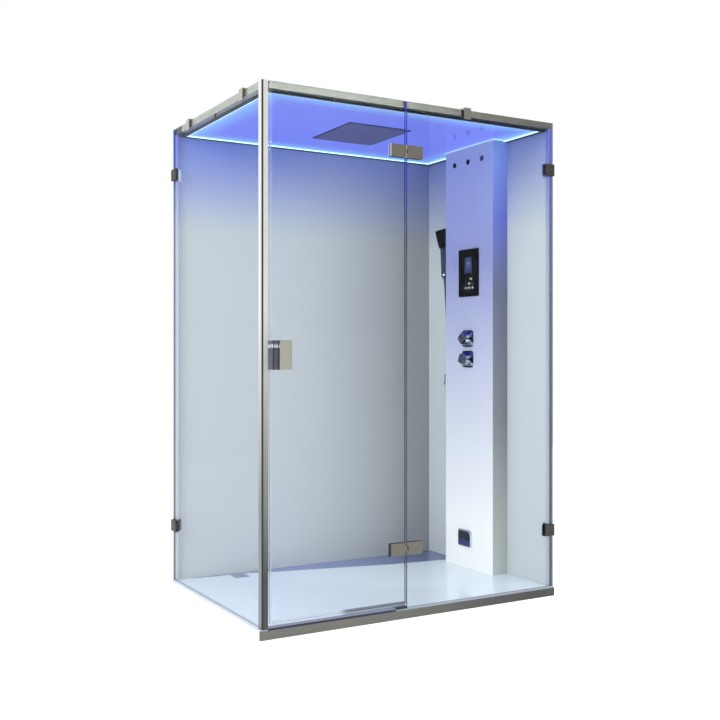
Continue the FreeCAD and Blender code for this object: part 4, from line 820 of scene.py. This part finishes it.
# %% Black glass and display
def patched(name, worn_by, inner, outer, reach, socket, **sockets):
    """A patch round the middle of the CAD node that wears the material."""
    low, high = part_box(worn_by)
    centre = tuple((a + b) / 2 for a, b in zip(low, high))
    material = finish(name, outer, **sockets)
    shade(material, **{socket: place_group(material, patch, Inner=inner, Outer=outer,
                                           Centre=centre, Reach=reach)})
    wear(material, worn_by)


patched("touch_glass", "control_glass", seen(13, 12, 17), seen(7, 6, 10), 0.12, "Base_Color",
        roughness=0.05, Specular_IOR_Level=0.05)
patched("display", "control_screen", seen(52, 66, 110), seen(26, 34, 66), 0.05,
        "Emission_Color", roughness=0.08, Emission_Strength=1.0)

# %% Outlet mirror and handset
# The violet lower part of the outlet mirror is a painted reflection.
outlet_mirror = finish("outlet_mirror", seen(84, 90, 104), 0.15, 0.9)
shade(outlet_mirror, Base_Color=place_group(outlet_mirror, levels, Below=seen(104, 110, 164),
                                            Above=seen(78, 86, 96), Height=0.180,
                                            Softness=0.008))
wear(outlet_mirror, "steam_outlet_plate")
handset_gloss = finish("handset_gloss", seen(60, 64, 80), 0.4, Specular_IOR_Level=0.03)
grip = place_group(handset_gloss, levels, Below=seen(40, 46, 66), Above=seen(66, 70, 92),
                   Height=1.556, Softness=0.01)
shade(handset_gloss, Base_Color=place_group(handset_gloss, levels, Below=grip,
                                            Above=seen(14, 16, 24), Height=1.686,
                                            Softness=0.008))
wear(handset_gloss, "handset")
wear(moulded("spray_rubber", seen(14, 15, 22), 0.4, 0.6, Specular_IOR_Level=0.05), "handset_face")

# %% [markdown]
# ## Pieces made as meshes
# The next pieces are skins of rings: each ring is a list of points, and faces join one ring to the
# next. A finished mesh rides on a body, so that it moves with the CAD pieces around it.


# %% Skins of rings
def loft(bm, rings, cap_start=True, cap_end=True):
    """Joins rings of equal count into a skin."""
    rows = [[bm.verts.new(point) for point in ring] for ring in rings]
    count = len(rows[0])
    for a, b in zip(rows, rows[1:]):
        for i in range(count):
            j = (i + 1) % count
            bm.faces.new((a[i], a[j], b[j], b[i]))
    if cap_start:
        bm.faces.new(list(reversed(rows[0])))
    if cap_end:
        bm.faces.new(rows[-1])


def finish_mesh(name, bm, material, body, smooth=False):
    """Turns a bmesh into a piece that rides on a body."""
    bmesh.ops.recalc_face_normals(bm, faces=bm.faces)
    mesh = bpy.data.meshes.new(name)
    bm.to_mesh(mesh)
    bm.free()
    mesh.materials.append(material)
    if smooth:
        for polygon in mesh.polygons:
            polygon.use_smooth = True
    piece = bpy.data.objects.new(name, mesh)
    scene.collection.objects.link(piece)
    if body:
        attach(piece, body)
    return piece


# %% [markdown]
# ### Digits on the display
# The display shows a small reading. Two digits are drawn as seven thin bars each, the way such
# displays build them, and laid just in front of the dark screen.

# %% Digits
SEGMENTS = {"3": "abgcd", "8": "abcdefg"}
BARS = {"a": (0, 1, 1, 1), "b": (1, 1, 1, 0.5), "c": (1, 0.5, 1, 0), "d": (0, 0, 1, 0),
        "e": (0, 0, 0, 0.5), "f": (0, 0.5, 0, 1), "g": (0, 0.5, 1, 0.5)}
below_top = 0.026


def display_digits(text, width, height, pitch, bar, raised):
    """Bars of the digits on the screen's face, which looks along -X; its right is -Y."""
    low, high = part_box("control_screen")
    top = high[2] - below_top
    start = (low[1] + high[1]) / 2 + pitch / 2 + width / 2
    bm = bmesh.new()
    for place, digit in enumerate(text):
        for key in SEGMENTS[digit]:
            right0, up0, right1, up1 = BARS[key]
            ya, yb = sorted(start - place * pitch - right * width for right in (right0, right1))
            za, zb = sorted(top - (1 - up) * height for up in (up0, up1))
            ring = [(ya - bar, za - bar), (yb + bar, za - bar),
                    (yb + bar, zb + bar), (ya - bar, zb + bar)]
            loft(bm, [[(x, y, z) for y, z in ring] for x in (low[0] - raised, low[0])])
    return finish_mesh("display_digits", bm, digit_light, "cabin")


digit_light = finish("digit_light", seen(60, 70, 80), 0.4, Emission_Strength=0.5,
                     Emission_Color=seen(170, 196, 220))
digits = display_digits("38", width=0.006, height=0.010, pitch=0.012, bar=0.0007, raised=0.0002)
print("display bars", len(digits.data.polygons) // 6)

# %% [markdown]
# ## Rain plate
# The real plate holds a fine field of tips, about 12 mm apart. That many would burden the solid, so
# the solid keeps a coarse field and this mesh stands for it. One tip is drawn as two rings of six
# points and repeated by arithmetic, then the thin plate is laid over the roots.

# %% Fine spray plate
plate_low, plate_high = (Vector(corner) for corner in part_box("rain_head_plate"))
tip_drop = 0.002
plate_low.z += tip_drop
tip_pitch = 0.0122
tip_radius = 0.0028
tip_root = 0.0003
plate_margin = 0.012
plate_bevel = 0.0006


def rounded_corners(low, high, radius, steps=4):
    """Outline points of a rectangle with round corners, over X and Y."""
    points = []
    corners = [(high.x, high.y, 0), (low.x, high.y, 90), (low.x, low.y, 180), (high.x, low.y, 270)]
    for x, y, turn in corners:
        cx = x - math.copysign(radius, x - (low.x + high.x) / 2)
        cy = y - math.copysign(radius, y - (low.y + high.y) / 2)
        for i in range(steps + 1):
            angle = math.radians(turn + 90 * i / steps)
            points.append((cx + radius * math.cos(angle), cy + radius * math.sin(angle)))
    return points


def rain_plate():
    bm = bmesh.new()
    bevel = Vector((plate_bevel, plate_bevel, 0))
    whole = rounded_corners(plate_low, plate_high, 0.004)
    inset = rounded_corners(plate_low + bevel, plate_high - bevel, 0.0034)
    loft(bm, [[(x, y, z) for x, y in outline]
              for outline, z in ((inset, plate_low.z), (whole, plate_low.z + plate_bevel),
                                 (whole, plate_high.z))])
    size = plate_high - plate_low
    columns, rows = (int((length - plate_margin) / tip_pitch) for length in (size.x, size.y))
    first_x = (plate_low.x + plate_high.x - (columns - 1) * tip_pitch) / 2
    first_y = (plate_low.y + plate_high.y - (rows - 1) * tip_pitch) / 2
    for i in range(columns):
        for j in range(rows):
            x, y = first_x + i * tip_pitch, first_y + j * tip_pitch
            loft(bm, [[(x + radius * math.cos(k * math.pi / 3),
                        y + radius * math.sin(k * math.pi / 3), plate_low.z - drop)
                       for k in range(6)]
                      for radius, drop in ((tip_radius, -tip_root), (tip_radius * 0.7, tip_drop))],
                 cap_start=False)
    print("spray tips", columns, "by", rows)
    return finish_mesh("rain_plate", bm, rain_steel, "cabin")


# %% Plate with tips a little lighter than its face
rain_steel = finish("rain_steel", seen(62, 66, 122), 0.3, 0.7)
shade(rain_steel, Base_Color=place_group(rain_steel, levels, Below=seen(146, 152, 226),
                                         Above=seen(28, 32, 78), Height=plate_low.z - 0.0012,
                                         Softness=0.0008))
plate = rain_plate()
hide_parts("rain_head_plate")

# %% [markdown]
# ## Hose
# A shower hose is a limp tube with a wound metal skin. Its route is a handful of points, and the
# smooth line through them is a NURBS spline of order 3. The skin is a mesh: rings along that line,
# with a radius that ripples like the winding.

# %% Route of the hose
hose_diameter = 0.011
left_face, front_face = -0.738, -0.512
lean = Vector((0, math.sin(math.radians(4)), math.cos(math.radians(4))))
tail = Vector((0.685, 0.278, 1.528))
hose_start = tail - lean * 0.0203
route = [(1423.0, 783.0, 1428.2), (1427.0, 780.5, 1333.8), (1431.5, 781.5, 1229.4),
         (1435.0, 783.0, 1120.0), (1438.5, 786.5, 1010.6), (1442.0, 793.0, 901.2),
         (1444.5, 800.0, 791.8), (1446.0, 805.0, 692.4), (1447.4, 806.6, 591.0),
         (1447.0, 806.0, 530.7), (1433.5, 788.1, 508.4), (1414.5, 762.9, 508.4),
         (1401.0, 745.0, 530.7), (1400.6, 744.6, 591.0), (1401.4, 745.8, 692.4),
         (1400.6, 746.6, 791.8), (1401.3, 747.3, 886.3)]
hose_end = Vector((0.663, 0.235, 0.9657))
points = [hose_start] + [Vector((left_face + x / 1000, front_face + y / 1000, z / 1000))
                         for x, y, z in route] + [hose_end]


def smooth_line(points):
    """Points along the NURBS spline through a route, as the curve gives them."""
    curve = bpy.data.curves.new("route", "CURVE")
    curve.dimensions = "3D"
    curve.resolution_u = 12
    spline = curve.splines.new("NURBS")
    spline.points.add(len(points) - 1)
    for control, point in zip(spline.points, points):
        control.co = (*point, 1)
    spline.order_u = 3
    spline.use_endpoint_u = True
    holder = bpy.data.objects.new("route", curve)
    scene.collection.objects.link(holder)
    bpy.context.view_layer.update()
    mesh = bpy.data.meshes.new_from_object(holder)
    line = [vertex.co.copy() for vertex in mesh.vertices]
    bpy.data.objects.remove(holder)
    bpy.data.meshes.remove(mesh)
    bpy.data.curves.remove(curve)
    return line


hose_line = smooth_line(points)


# %% Wound skin of the hose
def even_steps(line, step):
    """Points a given step apart along a line."""
    result = [line[0].copy()]
    left = step
    for a, b in zip(line, line[1:]):
        length = (b - a).length
        done = 0.0
        while length - done >= left:
            done += left
            result.append(a.lerp(b, done / length))
            left = step
        left -= length - done
    result.append(line[-1].copy())
    return result


def wound_tube(name, line, radius, ripple, pitch, corners, material):
    """A tube whose radius ripples once in a pitch, which takes three rings."""
    bm = bmesh.new()
    steps = even_steps(line, pitch / 3)
    side = Vector((1, 0, 0))
    rings = []
    for i, point in enumerate(steps):
        ahead = steps[min(i + 1, len(steps) - 1)] - steps[max(i - 1, 0)]
        along = ahead.normalized()
        side = (side - along * side.dot(along)).normalized()
        other = along.cross(side)
        r = radius - ripple * (1 if i % 3 == 0 else 0)
        rings.append([point + side * (r * math.cos(2 * math.pi * k / corners))
                      + other * (r * math.sin(2 * math.pi * k / corners))
                      for k in range(corners)])
    loft(bm, rings)
    return finish_mesh(name, bm, material, None, smooth=True)


# %% Hose in its finish, painted light low down and painted shade towards its upper end
hose_steel = moulded("hose_steel", seen(150, 152, 160), 0.22, 0.4, 1500.0, metallic=0.9)
shade(hose_steel, Base_Color=place_group(hose_steel, height_light, Paint=seen(204, 213, 224),
                                         Middle=seen(150, 160, 178), Glow=seen(44, 51, 68),
                                         Low=0.8, Turn=1.12, High=1.42))
hose = wound_tube("hose_skin", hose_line, radius=hose_diameter / 2, ripple=0.0005, pitch=0.0045,
                  corners=16, material=hose_steel)
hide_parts("shower_hose")
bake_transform(hose)

# %% [markdown]
# ## Studio
# A pale floor, a white surround and soft lamps. The surround is white only for what the eye sees
# directly, mirrored or through glass. For lighting it is a gentler grey, so pale paint doesn't
# clip. The floor is lifted for the same kinds of ray, so that it stays as white as the surround.

# %% Surround
looking = ["Camera", "Glossy", "Transmission"]
white_seen = 1.0
ambient = 0.9
floor_lift = 0.42
world = bpy.data.worlds.new("studio")
scene.world = world
world.use_nodes = True
feed_named(world.node_tree, world.node_tree.nodes["Background"], Color=(1, 1, 1, 1),
           Strength=by_ray(world.node_tree, looking, ambient, white_seen))

# %% Floor
half_floor, floor_depth = 6, 0.02
floor_corners = [(-half_floor, -half_floor), (half_floor, -half_floor), (half_floor, half_floor),
                 (-half_floor, half_floor)]
floor_mesh = bmesh.new()
loft(floor_mesh, [[(x, y, z) for x, y in floor_corners] for z in (-floor_depth, 0)])
floor_white = finish("floor_white", (0.86, 0.86, 0.86, 1), 0.9, Emission_Color=(1, 1, 1, 1))
shade(floor_white, Emission_Strength=by_ray(floor_white.node_tree, looking, 0.0, floor_lift))
floor = finish_mesh("studio_floor", floor_mesh, floor_white, None)


# %% Lamps
def soft_lamp(name, place, target, size, power):
    data = bpy.data.lights.new(name, "AREA")
    data.size = size
    data.energy = power
    lamp = bpy.data.objects.new(name, data)
    lamp.location = place
    lamp.visible_glossy = False
    lamp.rotation_euler = (Vector(target) - Vector(place)).to_track_quat("-Z", "Y").to_euler()
    scene.collection.objects.link(lamp)


soft_lamp("key", (-5.0, -1.2, 2.8), (0, 0, 1.1), 2.5, 130)
soft_lamp("fill", (2.0, -5.0, 2.4), (0, 0, 1.0), 3.0, 110)
